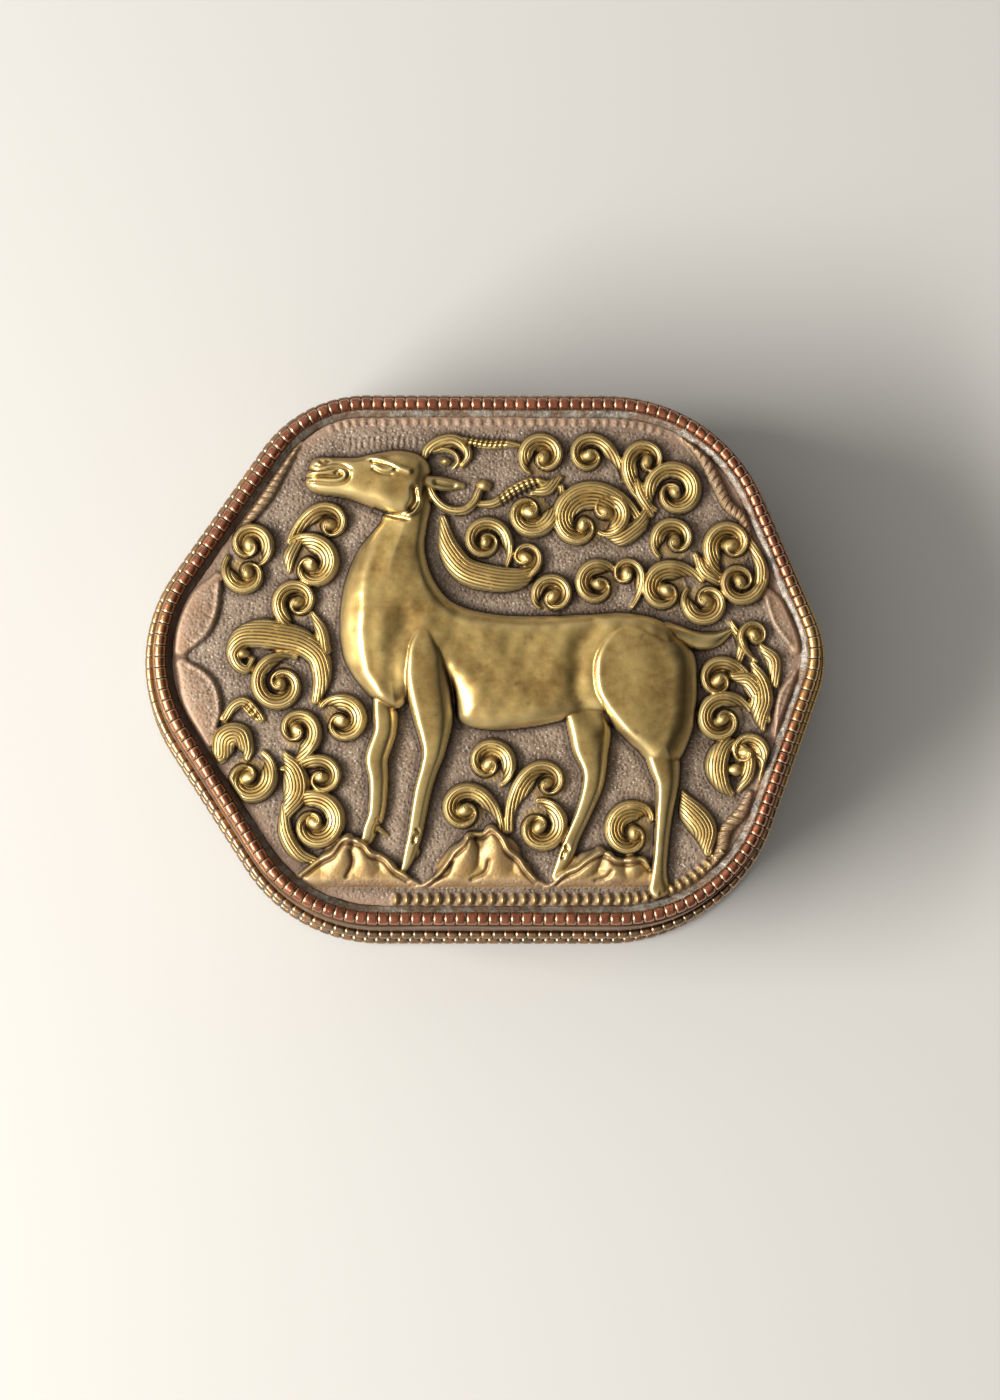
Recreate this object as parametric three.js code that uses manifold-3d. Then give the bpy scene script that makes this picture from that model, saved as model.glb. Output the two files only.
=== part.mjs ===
import * as THREE from 'three';
import { mergeVertices } from 'three/addons/utils/BufferGeometryUtils.js';
import Module from 'manifold-3d';

// Sheet-brass box with a lift-off lid. Its plan is an elongated hexagon with rounded corners,
// its walls flare a little towards the table, and the lid is a repousse panel of a deer among
// scrolls, held by a milled copper rim wire. Millimetres, +Z up, the front of the box is -Y,
// and the origin is the middle of the flat underside.

// Plan of the box along the outer edge of the rim wire, counter-clockwise from the right.
// Each corner is where two straight sides would meet, with the radius that rounds it.
const rightCorner = { x: 56.15, y: 1.7, radius: 14.2 };
const backRightCorner = { x: 38.2, y: 43.6, radius: 27 };
const backLeftCorner = { x: -30.2, y: 43.5, radius: 19 };
const leftCorner = { x: -59.85, y: 1.1, radius: 23.2 };
const frontLeftCorner = { x: -31.2, y: -43.5, radius: 24 };
const frontRightCorner = { x: 40, y: -43.6, radius: 26 };

// Heights above the table.
const rimHeight = 39;
const partingHeight = 20.5;

// Walls: sheet thickness, how far the top edge stands out past the rim wire, and how far the
// outside runs outward for each millimetre down.
const wallSheet = 0.8;
const wallLip = 0.4;
const flare = 0.08;
const floorSheet = 0.8;

// Inner collar, soldered into the base, that the lid slips over.
const collarSheet = 0.7;
const collarRise = 8;
const collarDepth = 10;

// Clearances: between pieces that are soldered or rest together, and at the parting line.
const seatGap = 0.3;
const partingGap = 0.3;

// Milled wires.
const rimWireDiameter = 2;
const beadPitch = 1.86;
const waistShare = 0.7;
const trimProud = 1.3;
const trimHeight = 2;
const footWireLift = 1;
const rimWireSides = 5;

// Lid panel: sheet thickness, flat rim under the wire, and the dome of the ground.
const panelSheet = 0.8;
const groundDome = 0.5;
const solderReach = 1;
const solderRise = 0.65;
const fieldMargin = 0.5;
const embed = 0.4;

// Relief heights over the ground, for the deer's fullest part and for the scrolls.
const deerHeight = 4.3;
const scrollHeight = 2;
const rockHeight = 2.4;
const eyeBallRadius = 1;
const tailTurn = 32;
const swellTurn = 70;

// Facets: degrees of turn between two points of a corner or of a scroll.
const cornerStep = 9;
const scrollStep = 40;
const scrollSides = 2;
const eyeSides = 4;
const limbSides = 3;

const wasm = await Module();
wasm.setup();

// Turns lists of sections, each with the same number of points, into triangles. A closed loft
// runs round and meets itself; an open one is capped at both ends.
function loft(sections, closed) {
  const size = sections[0].length;
  const points = sections.flat();
  const triangles = [];
  const strips = closed ? sections.length : sections.length - 1;
  for (let i = 0; i < strips; i += 1) {
    const here = i * size;
    const there = ((i + 1) % sections.length) * size;
    for (let k = 0; k < size; k += 1) {
      const next = (k + 1) % size;
      triangles.push([here + k, there + k, there + next]);
      triangles.push([here + k, there + next, here + next]);
    }
  }
  if (!closed) {
    const last = (sections.length - 1) * size;
    const startCap = points.push(middleOf(sections[0])) - 1;
    const endCap = points.push(middleOf(sections[sections.length - 1])) - 1;
    for (let k = 0; k < size; k += 1) {
      const next = (k + 1) % size;
      triangles.push([startCap, k, next]);
      triangles.push([endCap, last + next, last + k]);
    }
  }
  return facingOut(points, triangles);
}

function middleOf(section) {
  const sum = section.reduce((total, point) => total.add(point), new THREE.Vector3());
  return sum.divideScalar(section.length);
}

// Keeps the triangles as they are if they enclose a positive volume, or turns them all over.
function facingOut(points, triangles) {
  let volume = 0;
  for (const [a, b, c] of triangles) {
    volume += points[a].dot(new THREE.Vector3().crossVectors(points[b], points[c]));
  }
  if (volume > 0) {
    return { points, triangles };
  }
  return { points, triangles: triangles.map(([a, b, c]) => [a, c, b]) };
}

function toSolid({ points, triangles }) {
  const vertProperties = new Float32Array(points.flatMap((point) => point.toArray()));
  const triVerts = new Uint32Array(triangles.flat());
  return new wasm.Manifold(new wasm.Mesh({ numProp: 3, vertProperties, triVerts }));
}

function toGeometry({ points, triangles }) {
  const geometry = new THREE.BufferGeometry();
  const positions = points.flatMap((point) => point.toArray());
  geometry.setAttribute('position', new THREE.Float32BufferAttribute(positions, 3));
  geometry.setIndex(triangles.flat());
  return geometry;
}

// Crossing forms leave points closer than this, and specks of no thickness between them. The
// points are merged, and what is kept is the one real body.
const closestPoints = 0.001;

function tidied(geometry) {
  const merged = mergeVertices(geometry, closestPoints);
  const vertProperties = merged.attributes.position.array;
  const triVerts = new Uint32Array(merged.index.array);
  const solid = new wasm.Manifold(new wasm.Mesh({ numProp: 3, vertProperties, triVerts }));
  const bodies = solid.decompose();
  return solidGeometry(bodies.reduce((most, next) => (next.volume() > most.volume() ? next : most)));
}

function solidGeometry(solid) {
  const mesh = solid.getMesh();
  const geometry = new THREE.BufferGeometry();
  geometry.setAttribute('position', new THREE.BufferAttribute(mesh.vertProperties, 3));
  geometry.setIndex(Array.from(mesh.triVerts));
  return geometry;
}

// The rounded hexagon, both as a path to walk along and as the corner points of flat facets.
function roundedPlan(corners) {
  const path = new THREE.Path();
  const stations = [];
  corners.forEach((corner, i) => {
    const before = corners[(i + corners.length - 1) % corners.length];
    const after = corners[(i + 1) % corners.length];
    const here = new THREE.Vector2(corner.x, corner.y);
    const arriving = here.clone().sub(new THREE.Vector2(before.x, before.y)).normalize();
    const leaving = new THREE.Vector2(after.x, after.y).sub(here).normalize();
    const outIn = new THREE.Vector2(arriving.y, -arriving.x);
    const outOff = new THREE.Vector2(leaving.y, -leaving.x);
    const pull = corner.radius / (1 + outIn.dot(outOff));
    const centre = here.clone().addScaledVector(outIn.clone().add(outOff), -pull);
    const from = outIn.angle();
    const turn = (outOff.angle() - from + 2 * Math.PI) % (2 * Math.PI);
    path.absarc(centre.x, centre.y, corner.radius, from, from + turn, false);
    const steps = Math.ceil(THREE.MathUtils.radToDeg(turn) / cornerStep);
    for (let k = 0; k <= steps; k += 1) {
      const angle = from + (turn * k) / steps;
      const out = new THREE.Vector2(Math.cos(angle), Math.sin(angle));
      stations.push({ at: centre.clone().addScaledVector(out, corner.radius), out });
    }
  });
  path.closePath();
  path.arcLengthDivisions = 1200;
  return { path, stations };
}

const plan = roundedPlan([
  rightCorner,
  backRightCorner,
  backLeftCorner,
  leftCorner,
  frontLeftCorner,
  frontRightCorner,
]);
const planBox = new THREE.Box2().setFromPoints(plan.path.getSpacedPoints(2000));
const planMiddle = planBox.getCenter(new THREE.Vector2());
const planHalf = planBox.getSize(new THREE.Vector2()).multiplyScalar(0.5);

function lift(station, offset, z) {
  const place = station.at.clone().addScaledVector(station.out, offset);
  return new THREE.Vector3(place.x, place.y, z);
}

// A ring all round the plan with the given section, as [offset from the plan, height] points.
function band(section) {
  const turned = (station) => section.map(([offset, z]) => lift(station, offset, z));
  return loft(plan.stations.map(turned), true);
}

// A solid built up of level rings, as [offset from the plan, height, share drawn in] points.
function stack(rings) {
  const middle = new THREE.Vector3(planMiddle.x, planMiddle.y, 0);
  const level = ([offset, z, drawn = 0]) => plan.stations.map((station) => {
    const place = lift(station, offset, z);
    return place.lerp(new THREE.Vector3(middle.x, middle.y, z), drawn);
  });
  return loft(rings.map(level), false);
}

// A wire with a notch between each two beads: section(share) gives its [offset, height] points,
// with share 1 at a bead's belly and waistShare in a notch.
function milledWire(section) {
  const beads = Math.round(plan.path.getLength() / beadPitch);
  const sections = [];
  for (let i = 0; i < 2 * beads; i += 1) {
    const along = i / (2 * beads);
    const tangent = plan.path.getTangentAt(along);
    const station = {
      at: plan.path.getPointAt(along),
      out: new THREE.Vector2(tangent.y, -tangent.x),
    };
    const share = i % 2 === 0 ? 1 : waistShare;
    sections.push(section(share).map(([offset, z]) => lift(station, offset, z)));
  }
  return loft(sections, true);
}

// Walls, collar and floor.
const wallTop = rimHeight - rimWireDiameter - seatGap;
const wallOuter = (z) => wallLip + flare * (wallTop - z);
const wallInner = (z) => wallOuter(z) - wallSheet;
const collarOuter = (z) => wallInner(z) - seatGap;

function upright(outer, thickness, low, high) {
  return band([
    [outer(low), low],
    [outer(high), high],
    [outer(high) - thickness, high],
    [outer(low) - thickness, low],
  ]);
}

const lidWallBottom = partingHeight + partingGap / 2;
const baseWallTop = partingHeight - partingGap / 2;
const baseWall = upright(wallOuter, wallSheet, 0, baseWallTop);
const lidWall = upright(wallOuter, wallSheet, lidWallBottom, wallTop);
const collar = upright(
  collarOuter,
  collarSheet,
  partingHeight - collarDepth,
  partingHeight + collarRise,
);
const floorEdge = wallInner(floorSheet) - seatGap;
const floor = stack([
  [floorEdge, 0],
  [floorEdge, floorSheet],
]);

// Wires. The rim wire is round; the two trim wires are flat where they lie on the wall.
const rimWireRadius = rimWireDiameter / 2;
const rimWireMiddle = rimHeight - rimWireRadius;
const rimWire = milledWire((share) => {
  const points = [];
  for (let k = 0; k < rimWireSides; k += 1) {
    const angle = Math.PI / 2 + (2 * Math.PI * k) / rimWireSides;
    const reach = rimWireRadius * share;
    points.push([
      -rimWireRadius + reach * Math.cos(angle),
      rimWireMiddle + reach * Math.sin(angle),
    ]);
  }
  return points;
});

function trimWire(height) {
  const high = height + trimHeight / 2;
  const low = height - trimHeight / 2;
  return milledWire((share) => [
    [wallOuter(high) + seatGap, high],
    [wallOuter(low) + seatGap, low],
    [wallOuter(height) + seatGap + (trimProud - seatGap) * share, height],
  ]);
}

const skirtWire = trimWire(lidWallBottom + trimHeight / 2);
const footWire = trimWire(footWireLift + trimHeight / 2);

// Lid panel: a domed sheet with a flat flange under the rim wire.
const panelTop = wallTop;
const panelBottom = panelTop - panelSheet;
const panelEdge = wallInner(panelTop) - seatGap;
const solderToe = -(rimWireDiameter + solderReach);
const fieldEdge = solderToe - fieldMargin;

function groundAt(x, y) {
  const across = (x - planMiddle.x) / planHalf.x;
  const along = (y - planMiddle.y) / planHalf.y;
  return panelTop + groundDome * Math.max(0, 1 - across * across - along * along);
}

const sheet = toSolid(stack([
  [fieldEdge, panelBottom + groundDome, 0.5],
  [fieldEdge, panelBottom],
  [panelEdge, panelBottom],
  [panelEdge, panelTop],
  [fieldEdge, panelTop],
  [fieldEdge, panelTop + groundDome, 0.5],
]));
const field = toSolid(stack([
  [fieldEdge, panelBottom - panelSheet],
  [fieldEdge, panelTop + 2 * deerHeight],
]));

// A form raised along a path of [x, y, half width, height] points, with a rounded section.
function raised(points, sides, steps) {
  const centres = points.map(([x, y]) => new THREE.Vector3(x, y, 0));
  const curve = new THREE.CatmullRomCurve3(centres);
  const sections = [];
  for (let i = 0; i <= steps; i += 1) {
    const along = i / steps;
    const place = Math.min(along * (points.length - 1), points.length - 1.000001);
    const before = points[Math.floor(place)];
    const after = points[Math.floor(place) + 1];
    const blend = place - Math.floor(place);
    const halfWidth = THREE.MathUtils.lerp(before[2], after[2], blend);
    const height = THREE.MathUtils.lerp(before[3], after[3], blend);
    sections.push(archAcross(curve.getPoint(along), curve.getTangent(along), {
      halfWidth,
      height,
      sides,
      foot: -embed,
    }));
  }
  return toSolid(loft(sections, false));
}

// An arch standing across a path: from foot to foot over the ground.
function archAcross(centre, tangent, { halfWidth, height, sides, foot }) {
  const ground = groundAt(centre.x, centre.y);
  const length = Math.hypot(tangent.x, tangent.y);
  const points = [];
  for (let k = 0; k <= sides; k += 1) {
    const angle = (Math.PI * k) / sides;
    const across = halfWidth * Math.cos(angle);
    const up = k === 0 || k === sides ? foot : height * Math.sin(angle);
    points.push(new THREE.Vector3(
      centre.x - (tangent.y / length) * across,
      centre.y + (tangent.x / length) * across,
      ground + up,
    ));
  }
  return points;
}

// A plateau inside an outline of [x, y] points, with shoulders that round down to its foot.
function plateau({ outline, heightAt, shoulder }, thinner = 0) {
  const count = outline.length;
  const inwards = outline.map((point, i) => {
    const before = outline[(i + count - 1) % count];
    const after = outline[(i + 1) % count];
    return new THREE.Vector2(before[1] - after[1], after[0] - before[0]).normalize();
  });
  const foot = thinner > 0 ? -2 * panelSheet : -embed;
  const steps = [[0, null], [0.12, 0.55], [0.45, 0.86], [1, 1]];
  const rings = steps.map(([share, rise]) => outline.map(([x, y], i) => {
    const inset = share * shoulder + thinner;
    const place = [x + inset * inwards[i].x, y + inset * inwards[i].y];
    const up = rise === null ? foot : rise * heightAt(x, y) * deerHeight - thinner;
    return new THREE.Vector3(...place, groundAt(...place) + up);
  }));
  const points = rings.flat();
  const triangles = [];
  for (let i = 0; i < rings.length - 1; i += 1) {
    for (let k = 0; k < count; k += 1) {
      const next = (k + 1) % count;
      const here = i * count;
      triangles.push([here + k, here + next, here + count + next]);
      triangles.push([here + k, here + count + next, here + count + k]);
    }
  }
  const flat = (ring) => ring.map((point) => new THREE.Vector2(point.x, point.y));
  const last = (rings.length - 1) * count;
  for (const [a, b, c] of THREE.ShapeUtils.triangulateShape(flat(rings[0]), [])) {
    triangles.push([a, c, b]);
  }
  for (const [a, b, c] of THREE.ShapeUtils.triangulateShape(flat(rings[rings.length - 1]), [])) {
    triangles.push([last + a, last + b, last + c]);
  }
  return toSolid(facingOut(points, triangles));
}

// The deer's broad forms: neck and trunk, haunch, and head. It faces left.
const deerForms = {
  body: {
    shoulder: 2.6,
    heightAt: (x, y) => 0.86 + 0.14 * Math.exp(-(((x + 17) / 7) ** 2) - ((y - 2) / 10) ** 2)
      - 0.2 * THREE.MathUtils.smoothstep(y, 14, 27),
    outline: [
      [-18, 22.8], [-21.6, 18.2], [-23.8, 12.6], [-24.6, 6.2], [-24, 0.7], [-21.8, -3.4],
      [-18.6, -6.8], [-15.2, -8.3], [-11, -6], [-6.4, -6], [-4.8, -10], [0, -11.6], [6.6, -11.2],
      [12.2, -10.1], [18, -9.2], [26, -9], [31, -5], [31.6, 3], [27.9, 7], [22.4, 8], [16.1, 7.7],
      [6.6, 7.4], [0, 7.9], [-5.6, 9.6], [-8.8, 13.3], [-10.3, 18.1], [-10, 22], [-9.4, 27.6],
      [-13, 30], [-17, 27],
    ],
  },
  haunch: {
    shoulder: 2.2,
    heightAt: (x, y) => 1.02 - 0.14 * THREE.MathUtils.smoothstep(y, 0.5, 6.5),
    outline: [
      [17.8, 2.6], [16.8, -2], [17.6, -6.4], [21.2, -11.5], [25, -15.2], [28.4, -17.6],
      [32.3, -15.2], [34.1, -10.6], [34.7, -5.2], [34.2, 0.8], [31.4, 4.8], [26.6, 6.6],
      [21, 6.2],
    ],
  },
  head: {
    shoulder: 1.8,
    heightAt: (x) => 0.84 - 0.24 * THREE.MathUtils.smoothstep(-x, 17, 30),
    outline: [
      [-30.2, 29.4], [-28, 27.4], [-23.4, 26.6], [-18.8, 25], [-15.4, 23.9], [-11.6, 25],
      [-10, 28.4], [-9.6, 31.6], [-11.4, 34.2], [-15.6, 34.9], [-20, 34], [-26.6, 33.7],
      [-29.4, 32.6],
    ],
  },
};

// Its limbs: each is a path of [x, y, half width, share of deerHeight].
const deerLimbs = {
  hindShank: [
    [28.7, -14, 2.6, 0.7], [29.4, -20, 1.8, 0.56], [29.2, -26, 1.3, 0.5],
    [28.6, -32, 1.1, 0.48], [28.4, -37.2, 1.7, 0.42],
  ],
  farHindLeg: [
    [16.4, -8.6, 3.4, 0.6], [17, -14.5, 3, 0.62], [17.4, -20, 1.5, 0.55],
    [16, -25, 1.1, 0.5], [13.9, -30, 1.1, 0.46], [11.5, -35.2, 0.9, 0.36],
  ],
  nearForeleg: [
    [-10.4, 5, 1.6, 0.85], [-10.2, -3, 3.8, 0.95], [-9.3, -10, 2.6, 0.76],
    [-9.4, -17, 1.1, 0.6], [-11, -24, 1, 0.52], [-12.2, -30, 0.9, 0.46], [-13.6, -34.2, 0.7, 0.3],
  ],
  farForeleg: [
    [-16.9, -7.2, 1.9, 0.52], [-17.2, -12, 1.8, 0.56], [-18, -17, 1.8, 0.56],
    [-18.1, -23, 1.3, 0.48], [-18.9, -27.5, 1.3, 0.42], [-20.4, -30.6, 0.8, 0.3],
  ],
  tail: [
    [29.5, 4.4, 1.7, 0.55], [34, 3.2, 1.5, 0.42], [39.9, 4.8, 0.6, 0.25],
  ],
  ear: [
    [-10, 29.8, 1.1, 0.5], [-7, 29.3, 1.3, 0.45], [-4.4, 29.3, 0.5, 0.25],
  ],
  upperAntler: [
    [-10.4, 33, 0.9, 0.5], [-9.1, 35.1, 1.1, 0.45], [-6.2, 36.5, 1.2, 0.42],
    [-3.6, 35.2, 1.1, 0.42], [-3.5, 33.2, 0.8, 0.38], [-4.9, 32, 0.5, 0.25],
  ],
  lowerAntler: [
    [-9.8, 28.4, 0.8, 0.5], [-8.3, 26, 0.8, 0.45], [-5.1, 24.8, 0.9, 0.42],
    [-2.5, 25.8, 0.9, 0.42], [-1.3, 28.2, 0.8, 0.38], [-0.2, 29.8, 0.6, 0.25],
  ],
};

function deerForm(limb, sides) {
  const points = deerLimbs[limb].map(([x, y, half, share]) => [x, y, half, share * deerHeight]);
  return raised(points, sides, points.length);
}

// A scroll: its eye, where its band starts, how far it turns (+ is counter-clockwise), the
// outer radius of its coil, its greatest band width and how late the coil tightens. The band
// runs in from a short tail, coils, and ends at a round eye.
const scrolls = [
  [-39.3, 19, -37.5, 15.5, 330, 4.3, 2.8, 1.8], [-39.8, 14.6, -43.5, 17.3, 260, 4.4, 2.6, 1.8],
  [-26.2, 22.5, -33.3, 19.5, -290, 4.1, 4, 1.6], [-29.3, 15.8, -33.1, 20.1, -310, 5.6, 3.4, 1.8],
  [-31.5, 9.6, -30.5, 3.5, -370, 4.5, 2.8, 1.8], [-34.2, -4, -31.4, 0.9, 440, 5.7, 2.5, 1.3],
  [-24.1, -10.1, -27.8, -7.2, -320, 4.9, 2.9, 1.8],
  [-31.4, -11.6, -34.1, -18.4, 350, 4.4, 2.8, 1.8],
  [-40, -19.9, -37, -15, -330, 5.6, 3.6, 1.6], [-27.4, -19.3, -33.4, -18.3, -320, 3.9, 3, 1.8],
  [-28.5, -26.9, -33.4, -23.7, -400, 6.1, 3.3, 1.5], [-0.4, 19.8, 3.4, 15.4, 420, 4.6, 2.2, 1.4],
  [6.3, 17, 3.9, 12.6, 300, 3, 2, 1.8], [7, 24.6, 12.7, 29.2, -330, 4.8, 3, 1.8],
  [9.2, 33.8, 6.8, 30.9, -330, 4.7, 3, 1.8], [16.8, 34.1, 23, 29.5, 380, 4.1, 2.8, 1.6],
  [15.8, 22.6, 26.6, 22.1, 340, 9.4, 4.6, 0.9], [19.5, 24.6, 18.3, 20.9, 260, 4.8, 2.8, 2],
  [26.4, 33.1, 26.9, 24.8, -330, 4.6, 2.8, 1.6], [31, 28, 27.4, 24.8, -440, 5.9, 2.8, 1.6],
  [31, 19.9, 28.1, 17, -290, 4.6, 2.8, 1.8], [40.3, 19.2, 39.1, 13.1, -330, 5.1, 3.3, 1.6],
  [41.8, 13.1, 46.5, 16, -400, 4.3, 2.4, 1.6], [10.8, 10.7, 8.5, 8.5, -340, 4.2, 2.7, 1.8],
  [18.3, 12.6, 21.7, 14.6, 320, 4.7, 2.6, 1.8], [23, 14.4, 24, 8.5, 300, 3, 2.2, 1.8],
  [29.6, 11.6, 36.1, 13.6, 320, 5.5, 3.2, 1.5], [36.1, 9.9, 32.7, 12.1, 330, 4.6, 2.8, 1.8],
  [44.1, 4.2, 44.7, -0.3, -300, 2.9, 1.9, 1.6], [38.3, -3.1, 44.1, -2.8, 320, 4.1, 2.6, 1.6],
  [38.8, -9.7, 44.1, -8, 380, 5, 2.9, 1.8], [42.8, -15.2, 45.7, -20, 280, 4.1, 2.8, 1.5],
  [0.3, -17, 2.6, -20.9, 340, 4.7, 2.8, 1.8], [-3.7, -24.7, 2.9, -28.6, 380, 4.9, 2.9, 1.8],
  [9.7, -20.3, 2.9, -28.6, -300, 4.5, 4.2, 1.6], [8.6, -27.4, 8.3, -22.6, -350, 5.1, 3, 1.8],
  [24.1, -28.5, 27.5, -25.9, 290, 6.2, 4, 1.8],
];

function scroll([eyeX, eyeY, startX, startY, turn, coil, width, tighten]) {
  const reach = Math.hypot(startX - eyeX, startY - eyeY);
  const from = Math.atan2(startY - eyeY, startX - eyeX);
  const sweep = THREE.MathUtils.degToRad(turn);
  const innermost = eyeBallRadius + 0.7;
  const place = (along) => {
    const turned = along * Math.abs(turn);
    const outer = coil - (coil - innermost) * Math.pow(along, tighten)
      + (reach - coil) * Math.exp(-turned / tailTurn);
    const room = THREE.MathUtils.clamp((outer - eyeBallRadius) / 2, 0.3, width / 2);
    const swell = THREE.MathUtils.smoothstep(turned, 0, swellTurn);
    const halfWidth = room * (0.35 + 0.65 * swell);
    const angle = from + sweep * along;
    const radius = outer - halfWidth;
    return {
      centre: { x: eyeX + radius * Math.cos(angle), y: eyeY + radius * Math.sin(angle) },
      halfWidth,
      height: scrollHeight * (0.5 + 0.5 * swell) * (1 - 0.25 * along ** 3),
    };
  };
  const steps = Math.ceil(Math.abs(turn) / scrollStep);
  const sections = [];
  for (let i = 0; i <= steps; i += 1) {
    const { centre, halfWidth, height } = place(i / steps);
    const before = place(Math.max(0, i - 0.05) / steps).centre;
    const after = place((i + 0.05) / steps).centre;
    const tangent = { x: after.x - before.x, y: after.y - before.y };
    sections.push(archAcross(centre, tangent, {
      halfWidth,
      height,
      sides: scrollSides,
      foot: -embed,
    }));
  }
  return toSolid(loft(sections, false));
}

function scrollEye([x, y]) {
  const ball = [];
  const rings = [
    [eyeBallRadius, -embed],
    [0.6 * eyeBallRadius, 0.8 * scrollHeight],
  ];
  for (const [radius, up] of rings) {
    const ring = [];
    for (let k = 0; k < eyeSides; k += 1) {
      const angle = (2 * Math.PI * k) / eyeSides;
      const place = [x + radius * Math.cos(angle), y + radius * Math.sin(angle)];
      ring.push(new THREE.Vector3(...place, groundAt(x, y) + up));
    }
    ball.push(ring);
  }
  return toSolid(loft(ball, false));
}

// Leaves, stems and border lobes, as paths of [x, y, half width, share of scrollHeight].
const leaves = [
  [
    [-28.1, -6.6, 0.8, 0.4], [-26, -1, 1.4, 0.8], [-30, 3, 2, 1],
    [-37, 5.2, 1.9, 1], [-41.4, 2.6, 1.4, 0.9], [-39.8, -0.9, 0.9, 0.7], [-38.9, 1, 0.5, 0.5],
  ],
  [[-44.6, -13.6, 0.5, 0.4], [-42, -11, 1.1, 0.8], [-39.8, -12, 1.2, 0.8], [-39.8, -15, 0.5, 0.5]],
  [[-33.3, -24.2, 0.7, 0.6], [-33.2, -28.6, 1.1, 0.9], [-31, -32.2, 1, 0.7], [-27.8, -33, 0.5, 0.4]],
  [
    [-7.2, 23.4, 0.8, 0.5], [-6.2, 18.6, 1.8, 0.9], [-3.2, 15, 2.3, 1],
    [1.4, 13.6, 2.4, 1], [5.6, 13.8, 1.8, 0.9], [8.2, 15.4, 0.8, 0.5],
  ],
  [[-1.2, 35.9, 0.6, 0.5], [2.4, 36.6, 0.8, 0.6], [5.6, 35.9, 0.5, 0.4]],
  [[1, 26, 0.9, 0.8], [6, 29.2, 1, 0.8], [10, 29.7, 0.6, 0.5]],
  [[43.7, 20.2, 0.6, 0.5], [45.6, 15.8, 0.8, 0.7], [45.2, 11.4, 0.7, 0.6], [42.7, 9.9, 0.5, 0.4]],
  [[41, -16.6, 1, 0.8], [38, -18.4, 1.9, 1], [38.4, -21.4, 1.4, 0.8], [39.6, -23.3, 0.5, 0.4]],
  [[42.6, -22.4, 0.8, 0.5], [39.6, -27.6, 1, 0.7], [38.4, -31.5, 0.9, 0.6], [36.2, -35, 0.6, 0.4]],
  [[32.3, -22.4, 0.6, 0.5], [34, -25.6, 1.9, 0.9], [36.4, -28.6, 1.9, 0.9], [36.6, -31, 0.9, 0.5]],
  [[-44.2, 11.4, 0.5, 0.4], [-45.4, 7.4, 1, 0.6], [-48.4, 3.4, 0.6, 0.4]],
  [[-48, -1.8, 0.6, 0.4], [-45.4, -5.9, 1, 0.6], [-44.6, -10, 0.5, 0.4]],
  [[45.6, 9.4, 0.5, 0.4], [48.2, 5.4, 1, 0.6], [50.8, 1.6, 0.6, 0.4]],
  [[50.8, -3, 0.6, 0.4], [48.4, -6.4, 1, 0.6], [47.4, -11, 0.5, 0.4]],
];

function leaf(points) {
  const shaped = points.map(([x, y, half, share]) => [x, y, half, share * scrollHeight]);
  return raised(shaped, scrollSides, points.length);
}

// Rocks along the front: a peak of [x, y, share of rockHeight], and the foot round it.
const rocks = [
  { peak: [-22.8, -33, 0.9], foot: [[-31, -36], [-22.6, -30.8], [-17.6, -34.4], [-12.6, -38], [-30, -38.6]] },
  { peak: [-2.6, -33.4, 1], foot: [[-11, -38.4], [-3.6, -31.2], [0.6, -29.6], [4.4, -33.6], [8, -38.4]] },
  { peak: [17.4, -36, 0.9], foot: [[9, -38.6], [13.6, -35.4], [19.2, -31.6], [25.4, -34.6], [26, -38.6]] },
];

function rock({ peak, foot }) {
  const [peakX, peakY, share] = peak;
  const points = [new THREE.Vector3(peakX, peakY, groundAt(peakX, peakY) + share * rockHeight)];
  for (const [x, y] of foot) {
    points.push(new THREE.Vector3(x, y, groundAt(x, y) - embed));
  }
  const count = foot.length;
  points.push(middleOf(points.slice(1)));
  const triangles = [];
  for (let k = 0; k < count; k += 1) {
    const here = 1 + k;
    const next = 1 + ((k + 1) % count);
    triangles.push([0, here, next], [count + 1, next, here]);
  }
  return toSolid(facingOut(points, triangles));
}

const reliefs = [
  ...Object.values(deerForms).map((form) => plateau(form)),
  ...Object.keys(deerLimbs).map((limb) => deerForm(limb, limbSides)),
  ...scrolls.map(scroll),
  ...scrolls.map(scrollEye),
  ...leaves.map(leaf),
  ...rocks.map(rock),
];
const hollows = [deerForms.body, deerForms.haunch].map((form) => plateau(form, panelSheet));
const relief = wasm.Manifold.union(reliefs).intersect(field);
const panel = sheet.add(relief).subtract(wasm.Manifold.union(hollows));

// Solder fillet in the angle between the rim wire and the panel's flange.
const solder = band([
  [-rimWireDiameter + seatGap, panelTop],
  [-rimWireDiameter - seatGap / 2, panelTop + solderRise],
  [solderToe, panelTop],
]);

function finish(color, roughness) {
  return new THREE.MeshStandardMaterial({ color, roughness, metalness: 1 });
}

const brownBrass = () => finish(0x8a6a3c, 0.45);
const paleBrass = () => finish(0xb4964a, 0.35);

const group = new THREE.Group();

function centred(geometry) {
  return geometry.translate(-planMiddle.x, -planMiddle.y, 0);
}

function place(name, geometry, material) {
  const mesh = new THREE.Mesh(geometry, material);
  mesh.name = name;
  group.add(mesh);
}

place('base_floor', centred(toGeometry(floor)), brownBrass());
place('base_wall', centred(toGeometry(baseWall)), brownBrass());
place('base_collar', centred(toGeometry(collar)), paleBrass());
place('base_foot_wire', centred(toGeometry(footWire)), finish(0x96603a, 0.4));
place('lid_wall', centred(toGeometry(lidWall)), brownBrass());
place('lid_panel', tidied(centred(solidGeometry(panel))), paleBrass());
place('lid_rim_wire', centred(toGeometry(rimWire)), finish(0x964b2d, 0.35));
place('lid_skirt_wire', centred(toGeometry(skirtWire)), finish(0x96603a, 0.4));
place('rim_solder', centred(toGeometry(solder)), finish(0x828282, 0.6));

export default group;
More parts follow.
